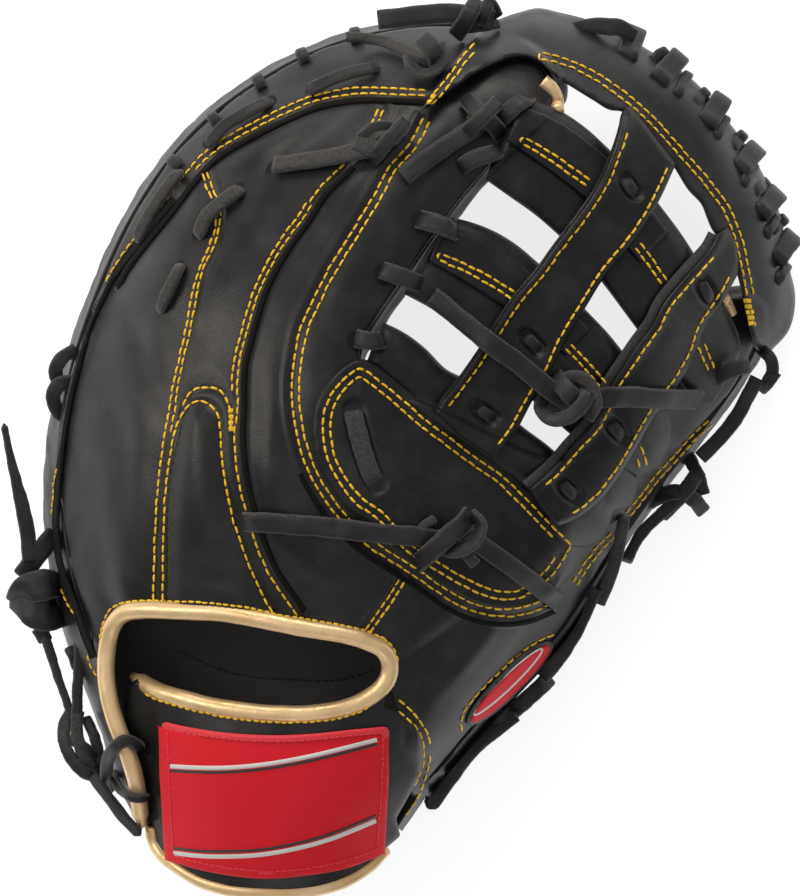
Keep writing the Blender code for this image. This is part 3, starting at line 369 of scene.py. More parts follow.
bpy.context.scene.view_settings.view_transform = "Standard"
bpy.context.scene.view_settings.look = "None"


# ---------------------------------------------------------------------------
# Materials, all from nodes
# ---------------------------------------------------------------------------
class Paint:
    """A small helper that wires shader nodes."""

    def __init__(self, name, rgb, rough, metal=0.0):
        self.m = bpy.data.materials.new(name)
        self.m.use_nodes = True
        self.t = self.m.node_tree
        self.b = self.t.nodes["Principled BSDF"]
        self.set("Base Color", (*rgb, 1))
        self.set("Roughness", rough)
        self.set("Metallic", metal)
        self.m.diffuse_color = (*rgb, 1)
        self.at = self.node("ShaderNodeTexCoord").outputs["Object"]
        self.normal = None

    def set(self, key, value):
        self.b.inputs[key].default_value = value

    def node(self, kind, **inputs):
        n = self.t.nodes.new(kind)
        for k, v in inputs.items():
            n.inputs[k.replace("_", " ")].default_value = v
        return n

    def link(self, a, b):
        self.t.links.new(a, b)

    def noise(self, scale, detail=3.0, rough=0.5, warp=0.0, stretch=None):
        n = self.node("ShaderNodeTexNoise", Scale=scale, Detail=detail, Roughness=rough, Distortion=warp)
        src = self.at
        if stretch:
            mp = self.node("ShaderNodeMapping")
            mp.inputs["Scale"].default_value = stretch
            self.link(src, mp.inputs["Vector"])
            src = mp.outputs["Vector"]
        self.link(src, n.inputs["Vector"])
        return n.outputs[0]

    def cells(self, scale, smooth=0.3, feature="SMOOTH_F1"):
        n = self.node("ShaderNodeTexVoronoi", Scale=scale)
        n.feature = feature
        if feature == "SMOOTH_F1":
            n.inputs["Smoothness"].default_value = smooth
        self.link(self.at, n.inputs["Vector"])
        return n.outputs["Distance"]

    def ramp(self, src, a, b, lo=0.0, hi=1.0):
        n = self.node("ShaderNodeMapRange")
        self.link(src, n.inputs["Value"])
        for k, v in zip(("From Min", "From Max", "To Min", "To Max"), (a, b, lo, hi)):
            n.inputs[k].default_value = v
        return n.outputs["Result"]

    def mix(self, fac, c1, c2):
        n = self.t.nodes.new("ShaderNodeMix")
        n.data_type = "RGBA"
        self.link(fac, n.inputs["Factor"])
        for key, c in (("A", c1), ("B", c2)):
            s = [i for i in n.inputs if i.name == key and i.type == "RGBA"][0]
            if isinstance(c, tuple):
                s.default_value = (*c[:3], 1)
            else:
                self.link(c, s)
        return [o for o in n.outputs if o.type == "RGBA"][0]

    def bump(self, src, height, strength=1.0):
        n = self.node("ShaderNodeBump", Strength=strength, Distance=height / 1000.0)
        self.link(src, n.inputs["Height"])
        if self.normal is not None:
            self.link(self.normal, n.inputs["Normal"])
        self.normal = n.outputs["Normal"]
        self.link(self.normal, self.b.inputs["Normal"])
        return self

    def drive(self, key, out):
        self.link(out, self.b.inputs[key])
        return self


def leather(name, rgb, rough, grain=1.0, crease=1.0, worn=(0.026, 0.025, 0.024)):
    p = Paint(name, rgb, rough)
    p.set("Specular IOR Level", 0.32)
    p.set("Coat Weight", 0.04)
    p.set("Coat Roughness", 0.35)
    wide = p.noise(22, 4, 0.55)
    p.drive("Roughness", p.ramp(wide, 0.3, 0.7, rough - 0.06, rough + 0.1))
    p.drive("Base Color", p.mix(p.ramp(p.noise(60, 5, 0.6), 0.45, 0.75), rgb, worn))
    p.bump(p.noise(85, 3, 0.5, 0.6), 0.35 * crease, 0.55)
    p.bump(p.cells(1500, 0.4), 0.10 * grain, 0.45)
    p.bump(p.noise(3300, 2, 0.6), 0.05 * grain, 0.5)
    return p


P_LEATHER = leather("mitt_leather", (0.0088, 0.0087, 0.0090), 0.37)
P_WEB = leather("web_leather", (0.0078, 0.0076, 0.0078), 0.40, 1.2, 0.9)
P_WEB.set("Specular IOR Level", 0.26)
P_PALM = leather("palm_leather", (0.0095, 0.0092, 0.0092), 0.41, 1.2, 1.2)
P_LACE = leather("lace_grain", (0.013, 0.013, 0.0135), 0.50, 1.3, 1.2, (0.035, 0.034, 0.034))

P_SUEDE = Paint("lace_suede", (0.028, 0.027, 0.027), 0.88)
P_SUEDE.set("Sheen Weight", 0.35)
P_SUEDE.set("Sheen Roughness", 0.5)
P_SUEDE.set("Sheen Tint", (0.5, 0.48, 0.46, 1))
P_SUEDE.drive("Base Color", P_SUEDE.mix(P_SUEDE.ramp(P_SUEDE.noise(900, 4, 0.7), 0.35, 0.7), (0.018, 0.017, 0.017), (0.06, 0.058, 0.056)))
P_SUEDE.bump(P_SUEDE.noise(1800, 4, 0.75), 0.3, 0.9)

P_WELT = Paint("cut_edge", (0.0060, 0.0058, 0.0058), 0.85)
P_WELT.set("Specular IOR Level", 0.12)
P_WELT.bump(P_WELT.noise(1500, 4, 0.7), 0.35, 0.9)

P_LINING = Paint("lining", (0.05, 0.048, 0.045), 0.85)
P_LINING.bump(P_LINING.noise(1200, 3, 0.6), 0.2, 0.7)

P_THREAD = Paint("gold_thread", (0.95, 0.56, 0.02), 0.42)
P_THREAD.set("Specular IOR Level", 0.3)
P_THREAD.drive("Base Color", P_THREAD.mix(P_THREAD.ramp(P_THREAD.noise(400, 2), 0.3, 0.7), (0.88, 0.48, 0.010), (1.0, 0.66, 0.04)))
P_THREAD.bump(P_THREAD.noise(5200, 2, 0.5), 0.12, 0.7)

P_DARK = Paint("black_thread", (0.012, 0.012, 0.012), 0.5)
P_DARK.bump(P_DARK.noise(5200, 2, 0.5), 0.12, 0.7)

P_GOLD = Paint("gold_leather", (0.86, 0.62, 0.33), 0.33, 0.55)
P_GOLD.drive("Base Color", P_GOLD.mix(P_GOLD.ramp(P_GOLD.noise(70, 5, 0.6), 0.35, 0.7), (0.92, 0.68, 0.38), (0.74, 0.49, 0.22)))
P_GOLD.drive("Roughness", P_GOLD.ramp(P_GOLD.noise(260, 4, 0.6), 0.3, 0.7, 0.28, 0.48))
P_GOLD.bump(P_GOLD.noise(170, 3, 0.5, 0.4), 0.5, 0.5).bump(P_GOLD.cells(1600, 0.4), 0.08, 0.5)


def cloth(name, rgb, rough, twill=0.5, sheen=0.15):
    p = Paint(name, rgb, rough)
    p.set("Sheen Weight", sheen)
    w = p.node("ShaderNodeTexWave", Scale=620.0, Distortion=0.6, Detail=1.0)
    w.bands_direction = "DIAGONAL"
    p.link(p.at, w.inputs["Vector"])
    # the twill's low grooves are coloured 0.72 darker, following the same wave as the bump: painted shade in the weave
    dark = tuple(c * 0.72 for c in rgb)
    p.drive("Base Color", p.mix(p.ramp(w.outputs[1], 0.2, 0.8), dark, rgb))
    p.bump(w.outputs[1], 0.16, twill)
    p.bump(p.noise(2600, 2, 0.6), 0.08, 0.6)
    return p


P_RED = cloth("red_twill", (0.84, 0.010, 0.024), 0.7, 0.5, 0.05)
P_RED.set("Specular IOR Level", 0.25)
P_SATIN = cloth("red_satin", (0.92, 0.03, 0.05), 0.5, 0.7, 0.2)
P_WHITE = cloth("white_stripe", (0.78, 0.78, 0.76), 0.5)
P_BLACK = cloth("black_stripe", (0.012, 0.012, 0.014), 0.5)

P_FLOOR = Paint("floor", (0.42, 0.42, 0.42), 0.8)
P_FLOOR.set("Emission Color", (1, 1, 1, 1))
P_FLOOR.set("Emission Strength", 0.80)
P_FLOOR.bump(P_FLOOR.noise(40, 2, 0.5), 0.02, 0.1)

me = bpy.data.meshes.new("floor")
s = 3.0
me.from_pydata([(-s, -s, 0), (s, -s, 0), (s, s, 0), (-s, s, 0)], [], [(0, 1, 2, 3)])
me.materials.append(P_FLOOR.m)
floor = bpy.data.objects.new("floor", me)
bpy.context.scene.collection.objects.link(floor)


# ---------------------------------------------------------------------------
# Seams and stitch rows, read off the view: each a list of (u, v)
# ---------------------------------------------------------------------------
SEAM_TOP = [(427, 93), (390, 91), (354, 91), (316, 98), (286, 110), (255, 125), (224, 142), (204, 157), (184, 180), (166, 204), (150, 224), (133, 245), (120, 263), (108, 284)]
SEAM_A = [
    (384, 100), (381, 110), (369, 133), (349, 159), (319, 189), (301, 217), (286, 237), (270, 263), (258, 288), (249, 315), (242, 341), (237, 361),
    (235, 384), (235, 407), (234, 433), (236, 463), (240, 489), (246, 512), (258, 550), (268, 573), (281, 593), (298, 617),
]
SEAM_B = [
    (204, 171), (211, 190), (219, 212), (218, 230), (210, 252), (201, 270), (195, 293), (189, 325), (182, 351), (176, 376), (170, 402), (167, 428), (163, 453),
    (159, 479), (156, 517), (154, 555), (153, 603),
]
PAD_OUT = [(186, 402), (194, 392), (207, 388), (219, 391), (227, 399), (231, 412), (231, 432)]
PAD_IN = [
    (163, 603), (164, 560), (164, 530), (165, 500), (169, 465), (176, 434), (182, 412), (190, 403), (200, 401), (211, 405), (218, 416), (221, 443), (223, 468), (227, 494),
    (235, 522), (242, 545), (250, 570), (262, 596), (276, 615),
]
SEAM_WEB = [
    (424, 117), (410, 143), (390, 166), (375, 194), (357, 224), (339, 253), (324, 278), (312, 303), (301, 328), (295, 356), (292, 382), (293, 410), (297, 435),
    (305, 463), (316, 486), (330, 507), (346, 526), (368, 546), (391, 561), (421, 580), (453, 602), (480, 613), (505, 616), (528, 613), (552, 603),
]
SLEEVE_ROW = [
    (571, 545), (553, 527), (528, 501), (502, 476), (476, 458), (451, 439), (425, 420), (400, 398), (380, 382), (360, 369), (344, 379), (329, 399), (323, 420), (324, 443),
    (329, 463), (342, 486), (357, 504), (378, 519), (402, 547), (431, 567), (456, 582), (484, 595), (502, 599), (518, 598), (534, 590), (552, 574), (571, 545),
]
SEAM_HEEL = [(402, 580), (392, 596), (380, 614), (367, 632)]
THUMB_ROW = [(711, 422), (693, 438), (675, 458), (658, 476), (641, 498), (627, 515)]
THUMB_ROW_B = [(613, 533), (600, 547), (588, 562), (574, 584)]
STRAP_ARC = [(388, 697), (406, 706), (418, 716), (428, 732), (432, 753), (429, 773), (420, 794), (404, 823)]
EDGE_WELT = [
    (110, 278), (106, 290), (97, 316), (88, 343), (80, 366), (73, 390), (67, 416), (61, 455), (58, 493), (57, 531), (63, 570), (75, 604), (88, 634), (100, 664),
]
# Lines where leather meets leather: rows, depth in mm, half width in units
GROOVES = [
    (SEAM_TOP, 0.55, 4.0), (SEAM_A, 0.5, 4.0), (SEAM_B, 0.4, 3.5), (SEAM_WEB, 0.6, 4.5), (SEAM_HEEL, 0.5, 4.0), (PAD_IN, 0.5, 3.0), (PAD_OUT, 0.4, 2.5),
    (THUMB_ROW, 0.4, 3.0), (THUMB_ROW_B, 0.4, 3.0),
]
# Raised welts: rows, how far to the left of travel, height in mm, half width in units
WELTS = [
    (SEAM_TOP, -9.0, 0.9, 3.2), (SEAM_A, -9.5, 1.3, 3.6), (SEAM_WEB, 8.0, 0.8, 3.0), (SEAM_HEEL, 8.0, 0.7, 3.0), (EDGE_WELT, 0.0, 1.8, 3.4), (SEAM_B, -7.0, 0.5, 2.6),
]
# Soft dents and folds of the worn leather: u, v, half length, half width in units, turn in degrees, height in mm
FOLDS = [
    (120, 450, 60, 14, 85, -1.2), (140, 350, 55, 12, 70, -0.9), (100, 560, 50, 12, 80, -1.0), (205, 470, 60, 22, 88, 1.4), (300, 560, 60, 10, 35, -1.0), (330, 600, 50, 9, 20, -0.8),
    (270, 440, 80, 12, 92, 0.9), (350, 480, 60, 14, 60, -0.9), (440, 640, 60, 9, -35, -1.3), (470, 660, 50, 8, -50, 0.9), (420, 690, 40, 8, -60, -0.9), (530, 640, 36, 9, -45, -1.2),
    (230, 580, 40, 9, 10, -0.7), (120, 620, 40, 9, 60, -0.9), (300, 140, 60, 10, -35, -0.8), (240, 230, 70, 12, -60, -0.8), (360, 250, 60, 12, -62, 0.8), (430, 170, 40, 8, -60, -0.8),
    (560, 600, 40, 8, -50, -1.0), (610, 500, 40, 9, -50, -0.8), (200, 120, 50, 8, -40, -0.7), (330, 75, 50, 8, -15, -0.6), (480, 60, 40, 10, -30, -1.2), (90, 640, 30, 7, 70, -0.9),
]


def smooth_line(rows, gap=4.0):
    return curve([tuple(r) for r in rows], gap=gap)


def side_line(rows, off, gap=4.0):
    line = smooth_line(rows, gap)
    return line + inward(line) * off


def near(u, v, line, reach):
    """Distance to a polyline, worked out only where it can be under reach."""
    u, v = np.ravel(u), np.ravel(v)
    out = np.full(len(u), 1e3)
    lo, hi = line.min(0) - reach, line.max(0) + reach
    pick = np.where((u > lo[0]) & (u < hi[0]) & (v > lo[1]) & (v < hi[1]))[0]
    if len(pick):
        p = np.stack([u[pick], v[pick]], 1)
        best = np.full(len(p), 1e9)
        for s, e in zip(line[:-1], line[1:]):
            box = (np.abs(p - (s + e) / 2) < reach + np.abs(e - s).max()).all(1)
            if not box.any():
                continue
            d = e - s
            q = p[box]
            t = np.clip(((q - s) @ d) / max(d @ d, 1e-9), 0, 1)
            best[box] = np.minimum(best[box], np.linalg.norm(q - s - t[:, None] * d, axis=1))
        out[pick] = np.minimum(best, 1e3)
    return out


GROOVE_LINES = [(smooth_line(r), d, w) for r, d, w in GROOVES]
WELT_LINES = [(side_line(r, o), h, w) for r, o, h, w in WELTS]


def relief(u, v):
    """Seams, welts, puffs and folds of the back, in mm."""
    u, v = np.ravel(u), np.ravel(v)
    z = np.zeros(len(u))
    close = np.full(len(u), 60.0)
    for line, deep, wide in GROOVE_LINES:
        d = near(u, v, line, 45)
        z -= deep * np.exp(-((d / wide) ** 2))
        close = np.minimum(close, d)
    z += 0.9 * (1 - np.exp(-((close / 16.0) ** 2))) - 0.9
    for line, high, wide in WELT_LINES:
        d = near(u, v, line, 14)
        z += high * np.exp(-((d / wide) ** 2.4))
    for fu, fv, fl, fw, turn, high in FOLDS:
        a = math.radians(turn)
        x = ((u - fu) * math.cos(a) + (v - fv) * math.sin(a)) / fl
        y = (-(u - fu) * math.sin(a) + (v - fv) * math.cos(a)) / fw
        z += high * np.exp(-(x * x) ** 1.2 - y * y)
    return z


def ripple(u, v, seed, scale, high):
    """Shallow random undulation: a few sines in turned directions."""
    g = np.random.default_rng(seed)
    z = 0
    for k in range(7):
        a, f, ph = g.uniform(0, math.pi), g.uniform(0.6, 1.6) / scale, g.uniform(0, 6.28)
        z = z + np.sin((u * math.cos(a) + v * math.sin(a)) * f * 6.28 + ph + 1.3 * np.sin(f * 3 * (v - u)))
    return high * z / 4.0


# ---------------------------------------------------------------------------
# Mesh makers
# ---------------------------------------------------------------------------
BUILT = []


def mesh(name, verts, faces, paint, smooth=True, normals=False):
    me = bpy.data.meshes.new(name)
    me.from_pydata(np.asarray(verts, float) / 1000.0, [], faces if isinstance(faces, list) else faces.tolist())
    if normals:
        bm = bmesh.new()
        bm.from_mesh(me)
        bmesh.ops.recalc_face_normals(bm, faces=bm.faces)
        bm.to_mesh(me)
        bm.free()
    me.materials.append(paint.m)
    me.polygons.foreach_set("use_smooth", [smooth] * len(me.polygons))
    ob = bpy.data.objects.new(name, me)
    bpy.context.scene.collection.objects.link(ob)
    BUILT.append(ob)
    return ob


def claim(ob, slot_name, *nodes):
    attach(ob, "root")
    if nodes:
        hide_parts(*nodes)
    return ob


def closed(ring, gap):
    """A closed ring as points gap apart."""
    return curve([tuple(r[:2]) for r in ring], gap=gap, closed=True)


def spread(ring, gap, levels=2):
    """Points over u and v inside a ring and their triangles: a coarse fill, halved levels times.

    The first len(ring) points in each outline are kept on the smooth ring itself."""
    step = 2**levels
    ring = np.asarray(ring, float)
    loop = np.vstack([ring, ring[:1]])
    along = np.concatenate([[0], np.cumsum(np.linalg.norm(np.diff(loop, axis=0), axis=1))])
    m = max(4, int(round(along[-1] / (gap * step)))) * step
    at = np.linspace(0, along[-1], m + 1)[:-1]
    ring = np.stack([np.interp(at, along, loop[:, j]) for j in (0, 1)], 1)
    pts, faces = fill(ring[::step], gap * step)
    faces = np.array(faces)
    tag = np.full(len(pts), -1)
    tag[: m // step] = np.arange(0, m, step)
    for level in range(levels):
        s = step >> level
        e = np.sort(np.vstack([faces[:, [0, 1]], faces[:, [1, 2]], faces[:, [2, 0]]]), axis=1)
        uniq, inv, cnt = np.unique(e, axis=0, return_inverse=True, return_counts=True)
        inv = inv.ravel()
        mid = (pts[uniq[:, 0]] + pts[uniq[:, 1]]) / 2
        ta, tb = tag[uniq[:, 0]], tag[uniq[:, 1]]
        d = np.abs(ta - tb)
        on = (cnt == 1) & (ta >= 0) & (tb >= 0) & ((d == s) | (d == m - s))
        t = np.where(d == s, np.minimum(ta, tb) + s // 2, (np.maximum(ta, tb) + s // 2) % m)
        mid[on] = ring[t[on]]
        n = len(pts)
        k = len(faces)
        ab, bc, ca = n + inv[:k], n + inv[k : 2 * k], n + inv[2 * k :]
        a, b, c = faces.T
        faces = np.vstack([np.stack(x, 1) for x in ((a, ab, ca), (ab, b, bc), (ca, bc, c), (ab, bc, ca))])
        pts = np.vstack([pts, mid])
        tag = np.concatenate([tag, np.where(on, t, -1)])
    rim = np.full(m, -1)
    rim[tag[tag >= 0]] = np.where(tag >= 0)[0]
    return pts, faces, rim


def skin(name, ring, gap, top, thick, paint, roll=4.0, levels=2, under=None, base=BACK):
    """A leather panel: its upper face follows top(u, v) in mm over the base and rolls down at its edge, and its wall is thick."""
    pts, faces, rim = spread(ring, gap, levels)
    u, v = pts.T
    edge = near(u, v, np.vstack([pts[rim], pts[rim[:1]]]), roll + 6)
    k = np.clip(edge / roll, 0, 1)
    drop = thick * 0.5 * (1 - np.sqrt(np.maximum(0, 1 - (1 - k) ** 2)))
    hi = top(u, v) - drop
    lo = top(u, v) - thick + drop * 0.8
    n = len(pts)
    up = lift(base, u, v, hi) if isinstance(base, Height) else place(u, v, base(u, v) + hi)
    dn = lift(base, u, v, lo) if isinstance(base, Height) else place(u, v, base(u, v) + lo)
    m = len(rim)
    nxt = np.roll(rim, -1)
    walls = np.stack([rim, nxt, nxt + n], 1), np.stack([rim, nxt + n, rim + n], 1)
    return mesh(name, np.vstack([up, dn]), np.vstack([faces, faces[:, ::-1] + n, *walls]), paint, normals=True)


def march(line, far, step=2.0):
    """Copies of an open line moved inwards step by step, eased so that they do not fold."""
    out = [line.copy()]
    cur = line.copy()
    for _ in range(int(round(far / step))):
        cur = cur + inward(cur) * step
        mid = (cur[:-2] + cur[2:]) / 2
        cur[1:-1] += 0.12 * (mid - cur[1:-1])
        out.append(cur.copy())
    return np.array(out)


def finer(rows, times):
    """More points between the rows of an array along its first axis, on a smooth curve."""
    p = np.asarray(rows, float)
    q = np.concatenate([2 * p[:1] - p[1:2], p, 2 * p[-1:] - p[-2:-1]])
    out = []
    for i in range(len(p) - 1):
        a, b, c, d = q[i : i + 4]
        for k in range(times):
            t = k / times
            out.append(0.5 * (2 * b + (c - a) * t + (2 * a - 5 * b + 4 * c - d) * t * t + (3 * b - a - 3 * c + d) * t**3))
    out.append(p[-1])
    return np.array(out)


def at_depth(copies, s, step=2.0):
    """The point of each column of copies that lies s units in."""
    s = np.broadcast_to(np.asarray(s, float), (copies.shape[1],))
    k = np.clip(s / step, 0, len(copies) - 1.001)
    i = k.astype(int)
    j = np.arange(copies.shape[1])
    f = (k - i)[:, None]
    return copies[i, j] * (1 - f) + copies[i + 1, j] * f


def face_height(u, v):
    """The face of the palm, no lower than what it lies on."""
    z = BACK(u, v) - DEPTH(u, v)
    return 0.5 * (z + np.sqrt(z * z + 4.0))


EDGE0 = curve([(u, v, a, f if f != WEB_SIDE else float(BACK(u, v)) - RIM) for u, v, a, f in EDGE_ROWS], gap=24)
COPIES0 = march(EDGE0[:, :2], 44)
FINE = 5
EDGE = finer(EDGE0, FINE)
COPIES = np.array([finer(c, FINE) for c in COPIES0])
OWN = at_depth(COPIES, EDGE[:, 2])
OWN0 = OWN[::FINE]


def smooth_max(a, b, k):
    h = np.clip(0.5 + 0.5 * (a - b) / k, 0, 1)
    return b + (a - b) * h + k * h * (1 - h)


def web_top(u, v):
    """Upper face of the cross panels, carried over the back where they lie on it."""
    shape = np.shape(u)
    u, v = np.ravel(u), np.ravel(v)
    web = WEB(u, v)
    ring = np.vstack([OWN0, np.array(HEEL_ROWS, float)])
    d = near(u, v, OWN0, 60)
    d = np.where(within(u, v, ring), -d, d)
    lower = np.clip((d - 4) / 22.0, 0, 1)
    back = BACK(u, v) + 5.6 - 30 * lower * lower * (3 - 2 * lower)
    return smooth_max(web, back, 5.0).reshape(shape)


# --- palm -------------------------------------------------------------------
def make_palm():
    n = len(EDGE)
    foot, own = EDGE[:, 3], EDGE[:, 2]
    one = np.ones(n)
    top = BACK(OWN[:, 0], OWN[:, 1]) - LEATHER + 0.8
    deep = at_depth(COPIES, FOOT)
    face = face_height(deep[:, 0], deep[:, 1])
    h = top - foot
    ctrl = [
        (own + 2.0, top + 0.3), (own - 0.5, top - 0.2), (own * 0.62, foot + h * 0.80), (own * 0.2, foot + h * 0.60), (own * 0.0 - 0.5, foot + h * 0.42), (one * 0.3, foot + h * 0.22),
        (one * 2.5, foot + 1.6), (one * 6.5, foot), (one * FLAT, foot), (one * FOOT * 0.8, foot * 0.6 + face * 0.4), (one * FOOT, face),
    ]
    prof = finer(np.array([np.stack(c, 1) for c in ctrl]), 3)
    verts, faces, kind = [], [], []

    def row(s, z):
        q = at_depth(COPIES, np.maximum(s, 0))
        back_off = inward(COPIES[0]) * np.minimum(s, 0)[:, None]
        q = q + back_off
        z = np.maximum(z, 0.0)
        verts.extend(place(q[:, 0], q[:, 1], z))
        return len(verts) - n

    out = []
    for k, c in enumerate(prof[:-1]):
        wob = 0.0
        s, z = c[:, 0], c[:, 1]
        if 3 < k < 20:
            q = at_depth(COPIES, np.maximum(s, 0))
            wob = ripple(q[:, 0] * 1.0 + z * 3, q[:, 1], 5, 40, 0.55) * math.sin((k - 3) / 17 * math.pi)
        out.append(row(s + wob / STEP * 0.6, z))
    wall = own + SIDE_WALL / STEP
    inset = np.maximum(FOOT, wall + 5)
    far = at_depth(COPIES, inset)
    lift_in = face_height(far[:, 0], far[:, 1]) + PAD
    inn = [row(wall, np.minimum(top, BACK(*at_depth(COPIES, wall).T) - 4.5)), row(wall + 1.0, np.minimum(top, BACK(*at_depth(COPIES, wall).T) - 4.5) * 0.5 + lift_in * 0.5)]
    heel = np.array(curve(HEEL_ROWS, gap=8))
    parts = []
    count = [0, 0]
    for part, (ring_s, up) in enumerate(((FOOT, 0.0), (inset, PAD))):
        edge = np.vstack([at_depth(COPIES, ring_s), heel])
        pts, tri = fill(edge, 9)
        base = len(verts)
        z = face_height(pts[:, 0], pts[:, 1]) + up
        d = near(pts[:, 0], pts[:, 1], edge, 40)
        z = np.maximum(z + ripple(pts[:, 0], pts[:, 1], 3, 90, 0.7) * np.clip(d / 30, 0, 1), 0.0)
        verts.extend(place(pts[:, 0], pts[:, 1], z))
        faces.extend(tuple(base + i for i in (f if part else f[::-1])) for f in tri)
        parts.append(base)
        count[part] = len(faces)
    out, inn = out + [parts[0]], inn + [parts[1]]
    shell = len(faces)
    for chain in (out, inn):
        for a, b in zip(chain[:-1], chain[1:]):
            faces.extend((a + i, a + i + 1, b + i + 1, b + i) for i in range(n - 1))
        if chain is out:
            outer_end = len(faces)
    inner_end = len(faces)
    faces.extend((out[0] + i, out[0] + i + 1, inn[0] + i + 1, inn[0] + i) for i in range(n - 1))
    m = len(heel)
    for i in range(n - 1, n + m):
        j = (i + 1) % (n + m)
        faces.append((parts[0] + i, parts[0] + j, parts[1] + j, parts[1] + i))
    for k in (0, n - 1):
        faces.append(tuple([a + k for a in out] + [a + k for a in reversed(inn)]))
    ob = mesh("palm_leather", verts, [tuple(f) for f in faces], P_PALM, normals=True)
    ob.data.materials.append(P_LINING.m)
    idx = np.zeros(len(faces), int)
    idx[count[0] : count[1]] = 1
    idx[outer_end:inner_end] = 1
    ob.data.polygons.foreach_set("material_index", idx)
    return claim(ob, "black_leather", "palm")


PALM = make_palm()

# --- back -------------------------------------------------------------------
BINDING_ROWS = [
    (142, 824), (140, 810), (137, 786), (131, 763), (121, 736), (115, 720), (109, 698), (106, 675), (107, 650), (112, 627), (123, 614), (141, 610), (181, 611),
    (222, 613), (263, 620), (304, 628), (345, 635), (366, 641), (383, 650), (390, 664), (386, 682), (368, 698), (345, 708), (304, 714), (263, 713), (222, 708),
    (181, 698), (161, 692), (145, 684), (133, 676),
]
BIND = curve(BINDING_ROWS, gap=5)
TURN = int(np.argmin(((BIND - np.array([386.0, 682.0])) ** 2).sum(1)))


def make_back():
    upper = BIND[:TURN]
    upper = upper[(upper[:, 1] < 690) & ((upper[:, 0] > 200) | (upper[:, 1] < 700))][::-1]
    first = next(i for i, q in enumerate(OWN) if q[1] < 700)
    last = max(i for i, q in enumerate(OWN) if q[1] < 800)
    seam = curve([tuple(OWN[last]), (408, 790), (412, 755), (406, 728), (396, 706), tuple(upper[0])], gap=8)[1:-1]
    ring = np.vstack([OWN[first : last + 1], seam, upper])

    def top(u, v):
        return relief(u, v) + ripple(u, v, 11, 120, 0.35)

    return claim(skin("back_leather", ring, 2.6, top, LEATHER, P_LEATHER, roll=3.5, levels=3), "black_leather", "back")


BACK_OB = make_back()


# ---------------------------------------------------------------------------
# What the camera meets at a point of the view, among the pieces made so far
# ---------------------------------------------------------------------------
EYE_AT = Vector(mm(SHIFT[0], SHIFT[1], SHIFT[2] + EYE))
TREES = {}


def tree_of(ob):
    if ob.name not in TREES:
        dg = bpy.context.evaluated_depsgraph_get()
        me = ob.evaluated_get(dg).to_mesh()
        bm = bmesh.new()
        bm.from_mesh(me)
        TREES[ob.name] = BVHTree.FromBMesh(bm)
        bm.free()
    return TREES[ob.name]


def seen(u, v, among=None, miss=None):
    """Height in mm of the highest surface under each point of the view, and its normal."""
    u, v = np.ravel(u).astype(float), np.ravel(v).astype(float)
    ends = place(u, v, 0.0) / 1000.0
    z = np.full(len(u), np.nan)
    n = np.tile([0.0, 0.0, 1.0], (len(u), 1))
    trees = [tree_of(o) for o in (among or BUILT)]
    for i, e in enumerate(ends):
        d = (Vector(e) - EYE_AT).normalized()
        best = None
        for t in trees:
            p, nn, _, dist = t.ray_cast(EYE_AT, d)
            if p is not None and (best is None or dist < best[0]):
                best = (dist, p, nn)
        if best is not None:
            z[i] = best[1].z * 1000.0 - SHIFT[2]
            n[i] = best[2] if best[2].z > 0 else -best[2]
    if miss is not None:
        z = np.where(np.isnan(z), miss, z)
    return z, n


def band(name, line, width, high, paint, among, lift_by=0.05, close=False, arch=True, cols=7, base=None, taper=False, fall=0.0):
    """A raised band along a line of the view, laid on what is below."""
    n = len(line)
    nrm = inward(line, close)
    verts = []
    t = np.linspace(-1, 1, cols)
    middle = base(line[:, 0], line[:, 1]) if base is not None else seen(line[:, 0], line[:, 1], among)[0]
    known = ~np.isnan(middle)
    middle = np.interp(np.arange(n), np.arange(n)[known], middle[known])
    for k in t:
        q = line[:, :2] + nrm * (k * width / 2)
        z = base(q[:, 0], q[:, 1]) if base is not None else seen(q[:, 0], q[:, 1], among)[0]
        z = np.where(np.isnan(z) | (np.abs(z - middle) > 6.0), middle - 0.3, z)
        up = high * (math.sqrt(max(0.0, 1 - k * k)) if arch else 1.0) + lift_by - abs(fall) * max(0.0, k * np.sign(fall)) ** 1.5
        if abs(k) == 1:
            up = -0.25
        z = z + (up if not taper else up * np.clip(np.minimum(np.arange(n), n - 1 - np.arange(n)) / 3.0, 0, 1))
        verts.append(place(q[:, 0], q[:, 1], z))
    verts = np.concatenate(verts)
    m = n if close else n - 1
    faces = []
    for c in range(cols - 1):
        for i in range(m):
            j = (i + 1) % n
            faces.append((c * n + i, c * n + j, (c + 1) * n + j, (c + 1) * n + i))
    return mesh(name, verts, faces, paint, normals=False)


def poly(*parts, gap=4.0):
    """A closed ring from several open lines, corners kept."""
    return np.vstack([curve([tuple(p) for p in q], gap=gap)[:-1] for q in parts])


# --- strap, bindings --------------------------------------------------------
STRAP_EDGE = [(152, 826), (154, 840), (163, 855), (179, 868), (199, 880), (230, 889), (263, 892), (293, 892), (326, 887), (352, 877), (370, 865), (384, 850), (398, 838), (407, 828)]


